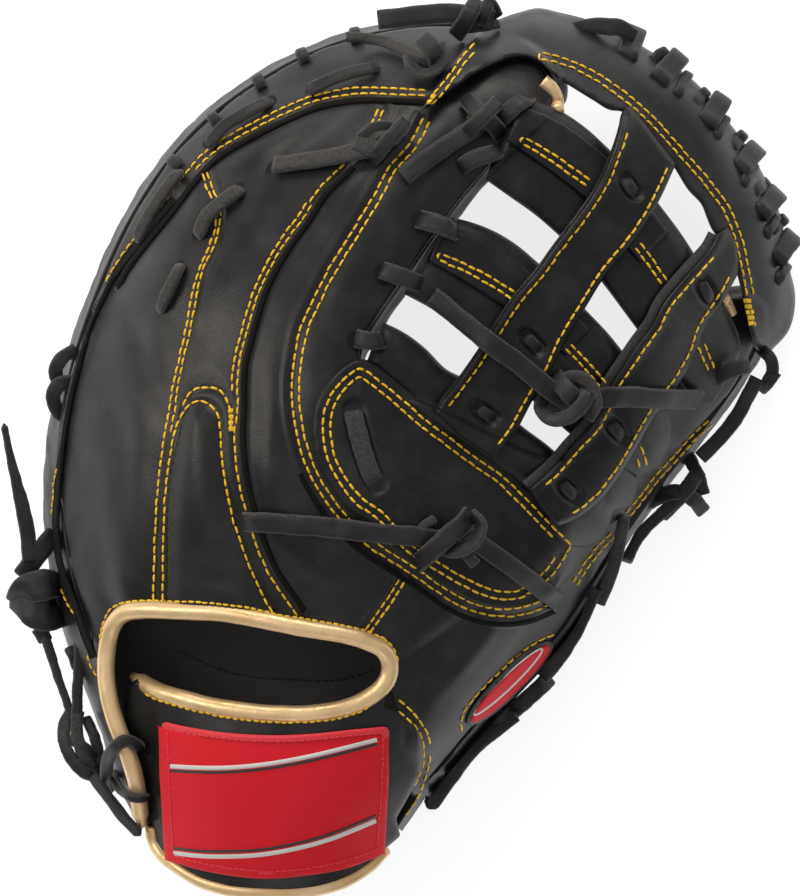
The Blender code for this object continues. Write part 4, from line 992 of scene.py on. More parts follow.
def make_strap():
    lower = BIND[TURN:]
    arc = side_line(STRAP_ARC, 9.0)
    if arc[0][1] > arc[-1][1]:
        arc = arc[::-1]
    bottom = curve(STRAP_EDGE[::-1], gap=5)
    tuck = curve([(152, 826), (140, 790), (131, 745), (124, 706), (133, 676)], gap=8)
    start = lower[lower[:, 0] > 133][::-1]
    ring = np.vstack([start, arc, bottom[(bottom[:, 0] < 402)], tuck[1:-1]])

    def base(u, v):
        w = np.clip((u - 392) / 24.0, 0, 1)
        return smooth_max(STRAP(u, v), BACK(u, v) + 2.0 - 12 * (1 - w), 3.0)

    def top(u, v):
        d = near(u, v, smooth_line(STRAP_ARC), 40)
        return 2.4 - 0.5 * np.exp(-((d / 5.0) ** 2)) + ripple(u, v, 21, 130, 0.3)

    return claim(skin("wrist_strap", ring, 2.8, top, 2.4, P_LEATHER, roll=4, levels=2, base=base), "black_leather", "strap")


STRAP_OB = make_strap()


def pipe(name, line, z, radius, paint, sides=16, flat=1.0, wrinkle=0.0, ends=True):
    """A tube along a line of the view at heights z in mm."""
    p = place(line[:, 0], line[:, 1], z)
    t = np.gradient(p, axis=0)
    t /= np.linalg.norm(t, axis=1, keepdims=True)
    side = np.cross(t, [0, 0, 1.0])
    side /= np.linalg.norm(side, axis=1, keepdims=True)
    up = np.cross(side, t)
    n = len(p)
    g = np.random.default_rng(len(line))
    wob = np.convolve(g.normal(0, 1, n + 8), np.ones(3) / 3, "same")[4:-4] * wrinkle
    verts, faces = [], []
    r = np.full(n, radius) if np.isscalar(radius) else np.asarray(radius)
    for k in range(sides):
        a = 2 * math.pi * k / sides
        wv = wob * (0.6 + 0.4 * math.sin(a * 2 + 1))
        verts.append(p + side * ((r + wv) * math.cos(a))[:, None] + up * ((r + wv) * flat * math.sin(a))[:, None])
    verts = np.concatenate(verts)
    for k in range(sides):
        b = (k + 1) % sides
        faces.extend((k * n + i, k * n + i + 1, b * n + i + 1, b * n + i) for i in range(n - 1))
    if ends:
        faces += [tuple(k * n for k in range(sides)), tuple(k * n + n - 1 for k in range(sides))]
    return mesh(name, verts, faces, paint, normals=True)


zb = BACK(BIND[:, 0], BIND[:, 1]) + 0.6
zs = STRAP(BIND[:, 0], BIND[:, 1]) + 1.4
mixing = np.clip((np.arange(len(BIND)) - TURN + 8) / 16.0, 0, 1)
mixing = mixing * mixing * (3 - 2 * mixing)
ends = np.clip(np.minimum(np.arange(len(BIND)) + 1, len(BIND) - np.arange(len(BIND))) / 3.0, 0.55, 1)
BINDING = claim(pipe("opening_gold", BIND, zb * (1 - mixing) + zs * mixing, 3.15 * ends, P_GOLD, 18, 0.92, 0.10), "gold_binding", "opening_binding")
edge = curve(STRAP_EDGE, gap=5)
edge = edge[edge[:, 0] < 387]
EDGING = claim(pipe("strap_gold", edge, STRAP(edge[:, 0], edge[:, 1]) + 1.0, 2.6, P_GOLD, 16, 0.95, 0.08), "gold_binding", "strap_binding")

# --- patches ----------------------------------------------------------------
PATCH = poly([(161.5, 721.5), (192, 728), (226, 733), (272, 735.5), (312, 734), (355, 729.5), (389, 726.5)], [(389, 726.5), (387, 786), (382, 853)], [(382, 853), (347, 866), (295, 875.5), (260, 877), (209, 870), (168.5, 860)], [(168.5, 860), (164, 786), (161.5, 721.5)])


def patch_top(u, v):
    return 2.4 + 1.1 + ripple(u, v, 31, 90, 0.25)


PATCH_OB = claim(skin("wrist_patch", PATCH + inward(PATCH, True) * 3.0, 2.6, patch_top, 1.0, P_RED, roll=2, levels=2, base=STRAP), "red_patch", "patch")
rim_line = PATCH + inward(PATCH, True) * 3.4
for _ in range(3):
    rim_line = (np.roll(rim_line, 1, axis=0) + 2 * rim_line + np.roll(rim_line, -1, axis=0)) / 4
BORDER_OB = claim(band("patch_border", rim_line, 7.4, 0.6, P_SATIN, None, close=True, base=lambda u, v: STRAP(u, v) + patch_top(u, v)), "red_patch")
for name, rows, wide, paint in (
    ("stripe_white_a", [(170, 766.3), (198, 767.8), (226, 767.8), (260, 765), (295, 759.4), (330, 751.7), (377, 739.8)], 5.6, P_WHITE),
    ("stripe_black_a", [(170, 770.9), (198, 772.3), (226, 772.3), (260, 769.5), (295, 763.9), (330, 756.2), (377, 744.3)], 3.6, P_BLACK),
    ("stripe_black_b", [(173, 848.2), (200, 851), (226, 851.5), (260, 849.8), (295, 843.8), (330, 834.3), (376, 815.8)], 3.6, P_BLACK),
    ("stripe_white_b", [(173, 853), (200, 856), (226, 856.6), (260, 854.8), (295, 848.8), (330, 839.3), (376, 820.8)], 5.6, P_WHITE),
):
    claim(band(name, curve(rows, gap=4), wide, 0.32, paint, [PATCH_OB], cols=5), "red_patch")

cu, cv, hl, hw, turn = 508.5, 682.5, 59, 13.0, -44.0
t = np.linspace(0, 2 * math.pi, 65)[:-1]
c, s = math.cos(math.radians(turn)), math.sin(math.radians(turn))
OVAL = np.stack([cu + hl * np.cos(t) * c - hw * np.sin(t) * s, cv + hl * np.cos(t) * s + hw * np.sin(t) * c], 1)
OVAL_OB = claim(skin("oval_badge", OVAL, 2.4, lambda u, v: relief(u, v) + 1.3, 1.2, P_BLACK, roll=2, levels=1), "red_patch", "oval_patch")
axis, across = np.array([c, s]), np.array([-s, c])
away = OVAL - np.array([cu, cv])
inner = np.array([cu - 0.6, cv - 0.6]) + np.outer(away @ axis, axis) * 0.93 + np.outer(away @ across, across) * 0.72
OVAL_FACE = claim(skin("oval_face", inner, 2.4, lambda u, v: relief(u, v) + 1.75, 0.6, P_RED, roll=1, levels=1), "red_patch")
inner = np.array([cu - 0.6, cv - 0.6]) + np.outer(away @ axis, axis) * 0.80 + np.outer(away @ across, across) * 0.48
claim(band("oval_ring", inner, 2.4, 0.3, P_WHITE, [OVAL_FACE], close=True, cols=5), "red_patch")

# --- overlays ---------------------------------------------------------------
SLOT = [(352.5, 411), (357, 430), (363, 452), (369, 470), (375.5, 483)]
slot_line = smooth_line(SLOT, 3)
SLEEVE = closed(side_line(SLEEVE_ROW[:-1], 10.0, 8)[1:-1], 6)


def sleeve_top(u, v):
    d = np.minimum(near(u, v, smooth_line(SLEEVE_ROW), 40), near(u, v, side_line(SLEEVE_ROW, -8), 40))
    cut = 1.7 / (1 + np.exp((near(u, v, slot_line, 40) - 11.0) * 1.1))
    return 2.1 + 0.7 * (1 - np.exp(-((d / 12.0) ** 2))) - 0.25 * np.exp(-((d / 2.5) ** 2)) - cut + ripple(u, v, 41, 110, 0.3)


SLEEVE_OB = claim(skin("web_sleeve", SLEEVE, 2.6, sleeve_top, 2.2, P_WEB, roll=3.5, levels=2), "black_leather", "sleeve")

PAD_RING = np.vstack([smooth_line(PAD_IN), [(262, 622), (215, 612), (180, 611)]])


def pad_top(u, v):
    d = near(u, v, smooth_line(PAD_IN), 60)
    return relief(u, v) + 0.3 + 1.7 * (1 - np.exp(-((d / 15.0) ** 2)))


INDEX_OB = claim(skin("index_panel", PAD_RING, 2.6, pad_top, 1.6, P_LEATHER, roll=3, levels=2), "black_leather", "index_pad")

# --- web --------------------------------------------------------------------
BAR_A = poly(
    [(529, 96), (561, 111), (586, 128), (610, 150), (640, 180), (659, 204), (680, 232), (695, 255), (722, 300), (737, 330), (740, 350), (730, 375), (713, 404)],
    [(713, 404), (690, 395), (665, 365), (639, 332), (604, 285), (580, 256), (556, 233), (534, 214), (510, 197), (486, 180)],
    [(486, 180), (496, 150), (512, 118), (529, 96)],
)
BAR_B = poly(
    [(451, 217), (474, 223), (496, 232), (517, 245), (536, 261), (562, 285), (586, 310), (607, 332), (625, 354), (650, 382), (668, 412), (670, 440), (658, 466), (640, 478)],
    [(640, 478), (612, 464), (590, 450), (570, 434), (535, 403), (505, 372), (479, 348), (461, 331), (433, 310), (404, 294)],
    [(404, 294), (420, 262), (437, 236), (451, 217)],
)
BAR_C = poly(
    [(383, 322), (405, 333), (425, 348), (446, 369), (461, 377), (492, 400), (522, 426), (545, 443), (559, 454), (590, 466), (622, 464), (638, 482), (632, 504), (613, 512)],
    [(613, 512), (607, 532), (590, 546), (560, 542), (536, 500), (500, 470), (452, 436), (400, 396), (366, 364)],
    [(366, 364), (374, 342), (383, 322)],
)


def bar_top(ring, row, deep=2.0):
    line = np.vstack([ring, ring[:1]])
    mark = smooth_line(row)

    def top(u, v):
        d = near(u, v, line, 30)
        f = near(u, v, mark, 30)
        return -deep * np.exp(-((d / 9.0) ** 2)) - 0.5 * np.exp(-((f / 4.0) ** 2)) + ripple(u, v, len(ring), 90, 0.25)

    return top


BARS = []
for name, ring, row in (
    ("panel_a", BAR_A, [(505, 140), (530, 154), (560, 176), (590, 202), (640, 258), (680, 308), (706, 352), (713, 385)]),
    ("panel_b", BAR_B, [(430, 258), (463, 280), (496, 300), (530, 326), (575, 362), (615, 402), (640, 440), (648, 465)]),
    ("panel_c", BAR_C, [(600, 480), (606, 500), (598, 515)]),
):
    BARS.append(claim(skin("web_" + name, ring, 2.8, bar_top(ring, row), 4.2, P_WEB, roll=9, levels=2, base=web_top), "black_leather", "bar_" + name[-1]))

FLAP_A = poly([(524, 106), (561, 122), (600, 152), (640, 196), (670, 232)], [(670, 232), (640, 262)], [(640, 262), (612, 228), (586, 199), (545, 167), (506, 140)], [(506, 140), (514, 122), (524, 106)])
FLAP_B = poly([(446, 226), (474, 236), (500, 250), (540, 282), (590, 330)], [(590, 330), (566, 356)], [(566, 356), (530, 324), (496, 302), (463, 281), (429, 261)], [(429, 261), (437, 243), (446, 226)])
for name, ring in (("flap_a", FLAP_A), ("flap_b", FLAP_B)):
    BARS.append(claim(skin("web_" + name, ring, 2.4, lambda u, v: 1.3 + ripple(u, v, 51, 70, 0.15), 1.7, P_WEB, roll=2.5, levels=2, base=web_top), "black_leather"))

POST_A = poly(
    [(433, 410), (461, 374), (487, 336), (510, 300), (535, 270), (553, 245), (573, 219), (594, 189), (609, 156), (617, 133), (622, 112), (630, 104)],
    [(630, 104), (665, 150), (676, 164)],
    [(676, 164), (659, 201), (637, 237), (604, 278), (589, 302), (563, 346), (550, 374), (533, 400), (515, 433), (494, 458)],
    [(494, 458), (462, 437), (433, 410)],
)
POST_B = poly(
    [(528, 488), (552, 467), (570, 446), (594, 419), (609, 386), (624, 363), (636, 345), (652, 323), (662, 303), (678, 283), (695, 264), (709, 248), (716, 235), (728, 226)],
    [(728, 226), (738, 250), (738, 274)],
    [(738, 274), (723, 301), (706, 326), (696, 353), (685, 374), (675, 389), (655, 415), (635, 450), (619, 476), (599, 501), (579, 517), (558, 526)],
    [(558, 526), (541, 508), (528, 488)],
)


def post_top(ring, slots):
    left, right = (smooth_line(r) for r in ring)

    def top(u, v):
        a, b = near(u, v, left, 40), near(u, v, right, 40)
        z = 4.0 + 1.3 * np.exp(-(((a - 6) / 5.0) ** 2)) - 0.3 * np.exp(-((b / 5.0) ** 2)) + ripple(u, v, 61, 100, 0.3)
        for su, sv, turn in slots:
            c, s = math.cos(math.radians(turn)), math.sin(math.radians(turn))
            x, y = (u - su) * c + (v - sv) * s, -(u - su) * s + (v - sv) * c
            r = (np.abs(x / 15.5) ** 3 + np.abs(y / 8.6) ** 3) ** (1 / 3)
            z = z - 1.9 / (1 + np.exp((r - 1) * 14)) + 0.12 * np.exp(-(((r - 1.3) / 0.25) ** 2))
        return z

    return top


A_LEFT = [(433, 410), (461, 374), (487, 336), (510, 300), (535, 270), (553, 245), (573, 219), (594, 189), (609, 156), (617, 133), (622, 112)]
A_RIGHT = [(676, 164), (659, 201), (637, 237), (604, 278), (589, 302), (563, 346), (550, 374), (533, 400), (515, 433), (494, 458)]
B_LEFT = [(528, 488), (552, 467), (570, 446), (594, 419), (609, 386), (624, 363), (636, 345), (652, 323), (662, 303), (678, 283), (695, 264), (709, 248), (716, 235)]
B_RIGHT = [(738, 274), (723, 301), (706, 326), (696, 353), (685, 374), (675, 389), (655, 415), (635, 450), (619, 476), (599, 501), (579, 517), (558, 526)]
A_SLOTS = [(630, 187, 55), (532, 342, 45), (485, 413, 35)]
B_SLOTS = [(706, 291, 60), (616, 430, 50), (568, 490, 45)]
POST_A_OB = claim(skin("web_post_a", POST_A, 2.4, post_top((A_LEFT, A_RIGHT), A_SLOTS), 3.6, P_WEB, roll=5, levels=2, base=web_top), "black_leather", "post_a")
POST_B_OB = claim(skin("web_post_b", POST_B, 2.4, post_top((B_LEFT, B_RIGHT), B_SLOTS), 3.2, P_WEB, roll=3, levels=2, base=web_top), "black_leather", "post_b")
# the fuzzy cut edge that shows beside the second post
cut = side_line(B_LEFT, -1.0)
CUT_OB = claim(band("post_edge", cut, 15.0, 0.6, P_SUEDE, None, base=lambda u, v: web_top(u, v) + 2.0, cols=7), "black_lace")

RIM_RING = poly(
    [(419, 113), (438, 84), (462, 52), (484, 27), (502, 18), (520, 12), (538, 8), (558, 12), (589, 20), (616, 32), (642, 46), (693, 80), (729, 122), (757, 163), (780, 214), (788, 262), (795, 293), (794, 314), (788, 332), (770, 352)],
    [(770, 352), (757, 350), (748, 330), (743, 300), (736, 272), (724, 246), (712, 230), (706, 216), (701, 204), (688, 190), (673, 166), (655, 143), (640, 126), (622, 112), (609, 110), (594, 101), (573, 88), (553, 75), (538, 62), (522, 57), (502, 61), (476, 74), (451, 92), (419, 113)],
)
RIM_OUT = smooth_line(RIM_RING[:0].tolist() + [(484, 27), (502, 18), (520, 12), (538, 8), (558, 12), (589, 20), (616, 32), (642, 46), (693, 80), (729, 122), (757, 163), (780, 214), (788, 262), (795, 293), (794, 314), (788, 332), (770, 352)])


def rim_top(u, v):
    d = near(u, v, RIM_OUT, 60)
    z = 1.6 + 1.6 * np.exp(-(((d - 26) / 20.0) ** 2)) - 5.5 * np.exp(-((d / 12.0) ** 2))
    return z + ripple(u, v, 71, 90, 0.5)


RIM_OB = claim(skin("web_rim_leather", RIM_RING, 2.8, rim_top, 6.0, P_LEATHER, roll=4, levels=2, base=web_top), "black_leather", "web_rim")

# rolled dark edges along the seams
EDGE_LINE = [
    (174, 198), (144, 236), (115, 273), (101, 300), (89, 326), (78.5, 365), (70, 399), (64, 433), (59.6, 470), (57, 499), (56, 530), (59, 559), (66, 584), (75, 604), (83, 631), (94, 658),
]
welt_line = smooth_line(EDGE_LINE, 3)
claim(band("welt_side", welt_line, 7.5, 1.0, P_WELT, None, cols=9, taper=True, base=lambda u, v: np.fmax(BACK(u, v) + relief(u, v) + 0.2, seen(u, v, [BACK_OB])[0]), fall=2.2), "black_leather")
for name, line, wide, high, paint in (
    ("welt_top", side_line(SEAM_TOP, -9.5, 3), 7.0, 0.9, P_WELT), ("welt_middle", side_line(SEAM_A, -9.0, 3)[24:], 7.0, 1.0, P_WELT),
    ("welt_web", side_line(SEAM_WEB, 8.5, 3)[130:], 6.0, 0.6, P_WELT), ("post_roll", side_line(A_LEFT, 3.6, 3)[2:-1], 8.0, 1.3, P_LEATHER),
):
    claim(band(name, line, wide, high, paint, [BACK_OB, PALM, POST_A_OB], cols=7, taper=True), "black_leather")
right = OWN[(OWN[:, 0] > 420) & (OWN[:, 1] > 560) & (OWN[:, 1] < 806)]
away = at_depth(COPIES, EDGE[:, 2] - 4.0)[(OWN[:, 0] > 420) & (OWN[:, 1] > 560) & (OWN[:, 1] < 806)]
claim(band("thumb_edge", away, 13.0, 0.5, P_LEATHER, None, cols=9, taper=True, base=lambda u, v: BACK(u, v) + relief(u, v) - 0.4, fall=-3.0), "black_leather")


# ---------------------------------------------------------------------------
# Stitches: small lofted dashes of thread that dip at both ends
# ---------------------------------------------------------------------------
SEAM_B_LEFT = [
    (202, 173), (209, 192), (214, 203), (216, 215), (215, 230), (209, 247), (199, 270), (193, 291), (190, 308), (186, 330), (180, 356), (174, 383), (171, 398),
    (167, 423), (163, 447), (160, 468), (157, 500), (155.5, 529), (154, 566), (153.5, 602),
]
SEAM_B_RIGHT = [(207, 171), (214, 192), (219, 203), (221, 213), (219, 228), (214, 247), (204, 267), (198, 289), (195, 306), (191, 328), (185.5, 352), (179, 383), (176, 405), (171, 433)]
PAD_ROW = [
    (162.7, 602), (163, 566), (163.7, 533), (164.7, 509), (166, 488), (168.4, 468), (170.8, 452), (174, 435), (180, 419), (186, 409), (193, 403), (201.4, 401), (211.6, 407),
    (218, 416), (220, 429), (221, 448), (223, 466), (226, 486), (230, 505), (234, 523), (241, 543.5), (248.4, 564), (256.5, 582), (264.7, 598.6), (273, 614),
]
ARCH_ROW = [(182, 407), (188, 396.5), (195, 389), (206.5, 387), (217.8, 389), (225, 396.5), (229, 405), (231, 413), (231, 432)]
OPENING_ROW = [(100, 640), (104, 622), (113, 607), (129, 601.5), (150, 601), (171, 601.5), (197, 602), (222, 604), (244, 607), (263, 611), (277, 615), (299, 618), (324, 622), (348, 626.5), (365, 630.5), (386, 639)]
RIM_ROW = [(541, 56), (560, 61), (579, 68), (604, 82), (630, 101), (655, 124), (681, 153), (706, 182), (726, 209), (737, 235), (744, 263), (750, 296)]
TOP_CORNER = [(490, 31), (478, 44), (464, 60), (450, 79), (438, 94), (428, 103)]


def part_of(rows, a, b, off=0.0, gap=3.0):
    """A stretch of a row between two fractions of its length, moved sideways."""
    line = smooth_line(rows, gap)
    line = line + inward(line) * off
    n = len(line) - 1
    return line[int(round(a * n)) : int(round(b * n)) + 1]


def dashes(line, pitch):
    along = np.concatenate([[0], np.cumsum(np.linalg.norm(np.diff(line, axis=0), axis=1))])
    k = max(1, int(round(along[-1] / pitch)))
    at = (np.arange(k) + 0.5) * along[-1] / k
    half = along[-1] / k * 0.425
    p = [np.stack([np.interp(at + o, along, line[:, j]) for j in (0, 1)], 1) for o in (-half, 0, half)]
    return np.stack(p, 1)


def stitches(name, lines, paint, among, pitch=9.6, radius=0.44, slot_name="gold_binding", rise=0.16):
    g = np.random.default_rng(len(name) * 7 + len(lines))
    d = np.concatenate([dashes(np.asarray(l, float), pitch) for l in lines])
    d = d + g.normal(0, 0.22, (len(d), 1, 2)) + g.normal(0, 0.12, d.shape)
    flat = d.reshape(-1, 2)
    z, nn = seen(flat[:, 0], flat[:, 1], among)
    z, nn = z.reshape(-1, 3), nn.reshape(-1, 3, 3)
    ok = ~np.isnan(z).any(1) & (np.ptp(z, axis=1) < 5.0)
    d, z, nn = d[ok], z[ok], nn[ok]
    pts = np.stack([place(d[:, i, 0], d[:, i, 1], z[:, i]) for i in range(3)], 1)
    verts, faces = [], []
    prof = [(-1.0, 0.30, -0.16), (-0.78, 0.82, 0.04), (-0.3, 1.0, rise), (0.3, 1.0, rise), (0.78, 0.82, 0.04), (1.0, 0.30, -0.16)]
    ang = np.arange(6) * math.pi / 3
    for i in range(len(d)):
        a, m, b = pts[i]
        t = b - a
        t /= max(np.linalg.norm(t), 1e-9)
        up = nn[i].mean(0)
        up -= t * (up @ t)
        up /= max(np.linalg.norm(up), 1e-9)
        side = np.cross(t, up)
        base = len(verts)
        r = radius * g.uniform(0.94, 1.08)
        for s, w, h in prof:
            c = (m + (m - a) * s if s < 0 else m + (b - m) * s) + up * (h + 0.05)
            verts.extend(c + side * (r * w * x) + up * (r * w * 0.85 * y) for x, y in zip(np.cos(ang), np.sin(ang)))
        for k in range(5):
            for j in range(6):
                jj = (j + 1) % 6
                faces.append((base + k * 6 + j, base + k * 6 + jj, base + k * 6 + 6 + jj, base + k * 6 + 6 + j))
        faces.append(tuple(base + j for j in range(6)))
        faces.append(tuple(base + 30 + j for j in range(6)))
    return claim(mesh(name, np.array(verts), faces, paint, normals=True), slot_name)


ARC_OUTER = [(390, 695), (401.5, 702), (417, 718), (426.5, 733), (430, 750), (429, 762), (423, 784), (415, 802), (405, 815)]
ARC_INNER = [(381, 701), (398, 711), (411, 722), (419, 733), (423.5, 747), (423, 761), (417, 780), (409, 795)]
LEATHERS = list(BUILT)
ROWS_BACK = [
    part_of(SEAM_TOP, 0, 1, 2.6), part_of(SEAM_TOP, 0, 0.64, -3.2),
    part_of(SEAM_A, 0.015, 0.075, 2.7), part_of(SEAM_A, 0.015, 0.06, -2.7),
    part_of(SEAM_A, 0.13, 0.225, 0.0), part_of(SEAM_A, 0.225, 0.585, 2.7), part_of(SEAM_A, 0.225, 0.64, -2.7), part_of(SEAM_A, 0.64, 1, -0.5),
    smooth_line(SEAM_B_LEFT, 3), smooth_line(SEAM_B_RIGHT, 3), smooth_line(PAD_ROW, 3), smooth_line(ARCH_ROW, 3),
    part_of(SEAM_WEB, 0, 1, 0.0), part_of(SEAM_WEB, 0, 1, -7.4),
    part_of(SEAM_HEEL, 0, 1, 2.9), part_of(SEAM_HEEL, 0, 1, -2.9),
    part_of(THUMB_ROW, 0, 1, 2.6), part_of(THUMB_ROW, 0, 1, -2.6), part_of(THUMB_ROW_B, 0, 1, 2.6), part_of(THUMB_ROW_B, 0, 1, -2.6),
    smooth_line(ARC_OUTER, 3), smooth_line(ARC_INNER, 3),
    smooth_line([(462, 732), (461, 719), (476, 695), (499, 672), (521, 652), (542, 639), (555, 634)], 3),
]
sleeve_in = side_line(SLEEVE_ROW, -7.6, 3)
ROWS_WEB = [
    smooth_line(SLEEVE_ROW, 3), sleeve_in[6:-6],
    part_of(TOP_CORNER, 0, 1, 2.9), part_of(TOP_CORNER, 0.05, 1, -2.9),
    part_of(RIM_ROW, 0, 1, 3.2), part_of(RIM_ROW, 0, 1, -3.2), smooth_line([(541, 53), (538, 57), (541, 60)], 2),
    side_line(A_LEFT, 9.5, 3)[4:-6], side_line(A_RIGHT, 6.5, 3)[2:-4],
    side_line(B_LEFT, 9.0, 3)[5:-6], side_line(B_RIGHT, 6.5, 3)[2:-6],
]
for rows, ends in (
    ([(524, 141), (545, 153), (567, 168), (589, 184)], True), ([(637, 245), (650, 262), (665, 283)], False), ([(701, 345), (706, 357), (711, 370)], False),
    ([(441, 257), (465, 268), (490, 281), (514, 296)], True), ([(568, 346), (585, 364), (604, 386)], False), ([(637, 447), (641, 457), (643, 467)], False),
):
    a, b = part_of(rows, 0, 1, 3.4), part_of(rows, 0, 1, -3.4)
    ROWS_WEB += [a, b]
    if ends:
        m = (a[0] + b[0]) / 2
        d = (m - (a[5] + b[5]) / 2)
        d = d / np.linalg.norm(d)
        ROWS_WEB.append(np.array([a[0] + d * 1.6, m + d * 4.0, b[0] + d * 1.6]))
lower_bind = BIND[TURN + 4 : -2]
ROWS_EDGE = [
    smooth_line(OPENING_ROW, 3),
    curve([tuple(q) for q in (lower_bind - inward(lower_bind) * 8.2)[::4]], gap=3)[3:-3],
    smooth_line([(374, 635), (386, 641), (394, 650), (398, 662)], 3),
    curve([tuple(q) for q in (edge - inward(edge) * -8.5)[6:-3:5]], gap=3),
    smooth_line([(57, 468), (54, 486), (53, 504), (52, 522)], 3), smooth_line([(61, 588), (66, 600), (74, 614)], 3), smooth_line([(87, 654), (91, 665), (97, 676)], 3),
    smooth_line([(131, 800), (130, 807), (130, 815)], 3),
]
print("rows", len(ROWS_BACK), len(ROWS_WEB), len(ROWS_EDGE))
stitches("stitches_back", ROWS_BACK, P_THREAD, LEATHERS)
stitches("stitches_web", ROWS_WEB, P_THREAD, LEATHERS)
stitches("stitches_edge", ROWS_EDGE, P_THREAD, LEATHERS, pitch=7.0, radius=0.42)
stitches("bartacks", [smooth_line([(231 + k, 408), (231 + k, 432)], 3) for k in (-1.2, 0.0, 1.2)] + [smooth_line([(428 + k, 104), (436 + k, 94)], 3) for k in (-1.5, 0.5)] + [smooth_line([(744 + k * 0.8, 298), (750 + k * 0.8, 326)], 3) for k in (0, 2, 4, 6)], P_THREAD, LEATHERS, pitch=6.2, radius=0.5)
stitches("patch_stitches", [closed(PATCH + inward(PATCH, True) * 5.6, 3)], P_SATIN, [PATCH_OB] + BUILT[BUILT.index(PATCH_OB) : BUILT.index(PATCH_OB) + 2], pitch=6.0, radius=0.3, slot_name="red_patch", rise=0.1)
inside = smooth_line([(178, 650), (205, 664), (240, 675), (290, 680), (340, 680), (375, 669)], 3)
stitches("stitches_inside", [inside], P_DARK, [PALM], pitch=7.0, radius=0.4, slot_name="black_lace")


# ---------------------------------------------------------------------------
# Laces: flat leather thongs, grain on one face and suede on the other
# ---------------------------------------------------------------------------
# near-black hole material: painted shade standing in for the dark inside of punched holes and slots
P_HOLE_SHADE = Paint("hole", (0.002, 0.002, 0.002), 0.9)
P_HOLE_SHADE.bump(P_HOLE_SHADE.noise(900, 2), 0.1, 0.3)
THONG = 2.2


def thong(name, path, width, tilt=0.0, suede=False, thick=THONG, seed=1, round_end=False):
    """A flat lace along a path in mm. tilt, in degrees, turns its section about its own line."""
    p = np.asarray(path, float)
    n = len(p)
    g = np.random.default_rng(seed)
    w = np.broadcast_to(np.asarray(width, float), (n,)).copy()
    if round_end:
        back = np.linalg.norm(p - p[-1], axis=1)
        k = np.clip(back / (w[-1] * 0.55), 0, 1)
        w *= 0.25 + 0.75 * np.sqrt(1 - (1 - k) ** 2)
    tilt = np.radians(np.broadcast_to(np.asarray(tilt, float), (n,)))
    t = np.gradient(p, axis=0)
    t /= np.maximum(np.linalg.norm(t, axis=1, keepdims=True), 1e-9)
    flat = np.cross(t, [0, 0, 1.0])
    size = np.linalg.norm(flat, axis=1, keepdims=True)
    flat = flat / np.maximum(size, 1e-9)
    for i in range(1, n):
        if size[i, 0] < 0.25:
            keep = flat[i - 1] - t[i] * (flat[i - 1] @ t[i])
            flat[i] = keep / max(np.linalg.norm(keep), 1e-9)
        elif flat[i] @ flat[i - 1] < -0.2:
            flat[i:] = -flat[i:]
    up = np.cross(flat, t)
    side = flat * np.cos(tilt)[:, None] + up * np.sin(tilt)[:, None]
    norm = np.cross(side, t)
    h, r = thick / 2, thick * 0.3
    sec = []
    for x, y, kx in ((1, -1, 0), (1, 1, 0), (1, 2, 1), (0.35, 2, 1), (-0.35, 2, 1), (-1, 2, 1), (-1, 1, 0), (-1, -1, 0), (-1, -2, 1), (-0.35, -2, 1), (0.35, -2, 1), (1, -2, 1)):
        sec.append((x, kx if abs(x) == 1 else 0, (h - r if abs(y) == 1 else h * (1.0 if abs(x) == 1 else 1.06)) * (1 if y > 0 else -1)))
    fray = np.stack([np.convolve(g.normal(0, 1, n + 4), np.ones(3) / 3, "same")[2:-2] for _ in range(4)]) * 0.16
    rings = []
    for j, (x, inset, y) in enumerate(sec):
        sway = fray[0 if x > 0 else 1] if abs(x) == 1 else 0.0
        puff = fray[2 if y > 0 else 3] * 0.5
        rings.append(p + side * (x * w / 2 - (r * inset * np.sign(x)) + sway)[:, None] + norm * (y + puff)[:, None])
    verts = np.stack(rings, 1).reshape(-1, 3)
    faces, kind = [], []
    for i in range(n - 1):
        for j in range(12):
            k = (j + 1) % 12
            faces.append((12 * i + j, 12 * i + k, 12 * i + 12 + k, 12 * i + 12 + j))
            kind.append(0 if j in (2, 3, 4) and not suede else 1)
    faces += [tuple(range(12)), tuple(range(12 * n - 12, 12 * n))]
    kind += [1, 1]
    ob = mesh(name, verts, faces, P_LACE, normals=True)
    ob.data.materials.append(P_SUEDE.m)
    ob.data.polygons.foreach_set("material_index", kind)
    return ob


def joined(name, parts):
    """Several pieces as one mesh."""
    verts, faces, kind, base = [], [], [], 0
    for o in parts:
        me = o.data
        co = np.empty(len(me.vertices) * 3)
        me.vertices.foreach_get("co", co)
        verts.append(co.reshape(-1, 3) * 1000.0)
        for q in me.polygons:
            faces.append(tuple(base + i for i in q.vertices))
            kind.append(q.material_index)
        base += len(me.vertices)
        BUILT.remove(o)
        bpy.data.objects.remove(o, do_unlink=True)
    ob = mesh(name, np.vstack(verts), faces, P_LACE)
    ob.data.materials.append(P_SUEDE.m)
    ob.data.polygons.foreach_set("material_index", kind)
    return ob


def taut(along, z):
    """The upper hull of heights along a lace, which spans hollows and does not sag into them."""
    hull = []
    for p in zip(along, z):
        while len(hull) > 1 and (hull[-1][1] - hull[-2][1]) * (p[0] - hull[-2][0]) <= (p[1] - hull[-2][1]) * (hull[-1][0] - hull[-2][0]):
            hull.pop()
        hull.append(p)
    return np.interp(along, [q[0] for q in hull], [q[1] for q in hull])


def soften(z, times=3):
    for _ in range(times):
        z = np.convolve(np.pad(z, 1, "edge"), [0.25, 0.5, 0.25], "valid")
    return z


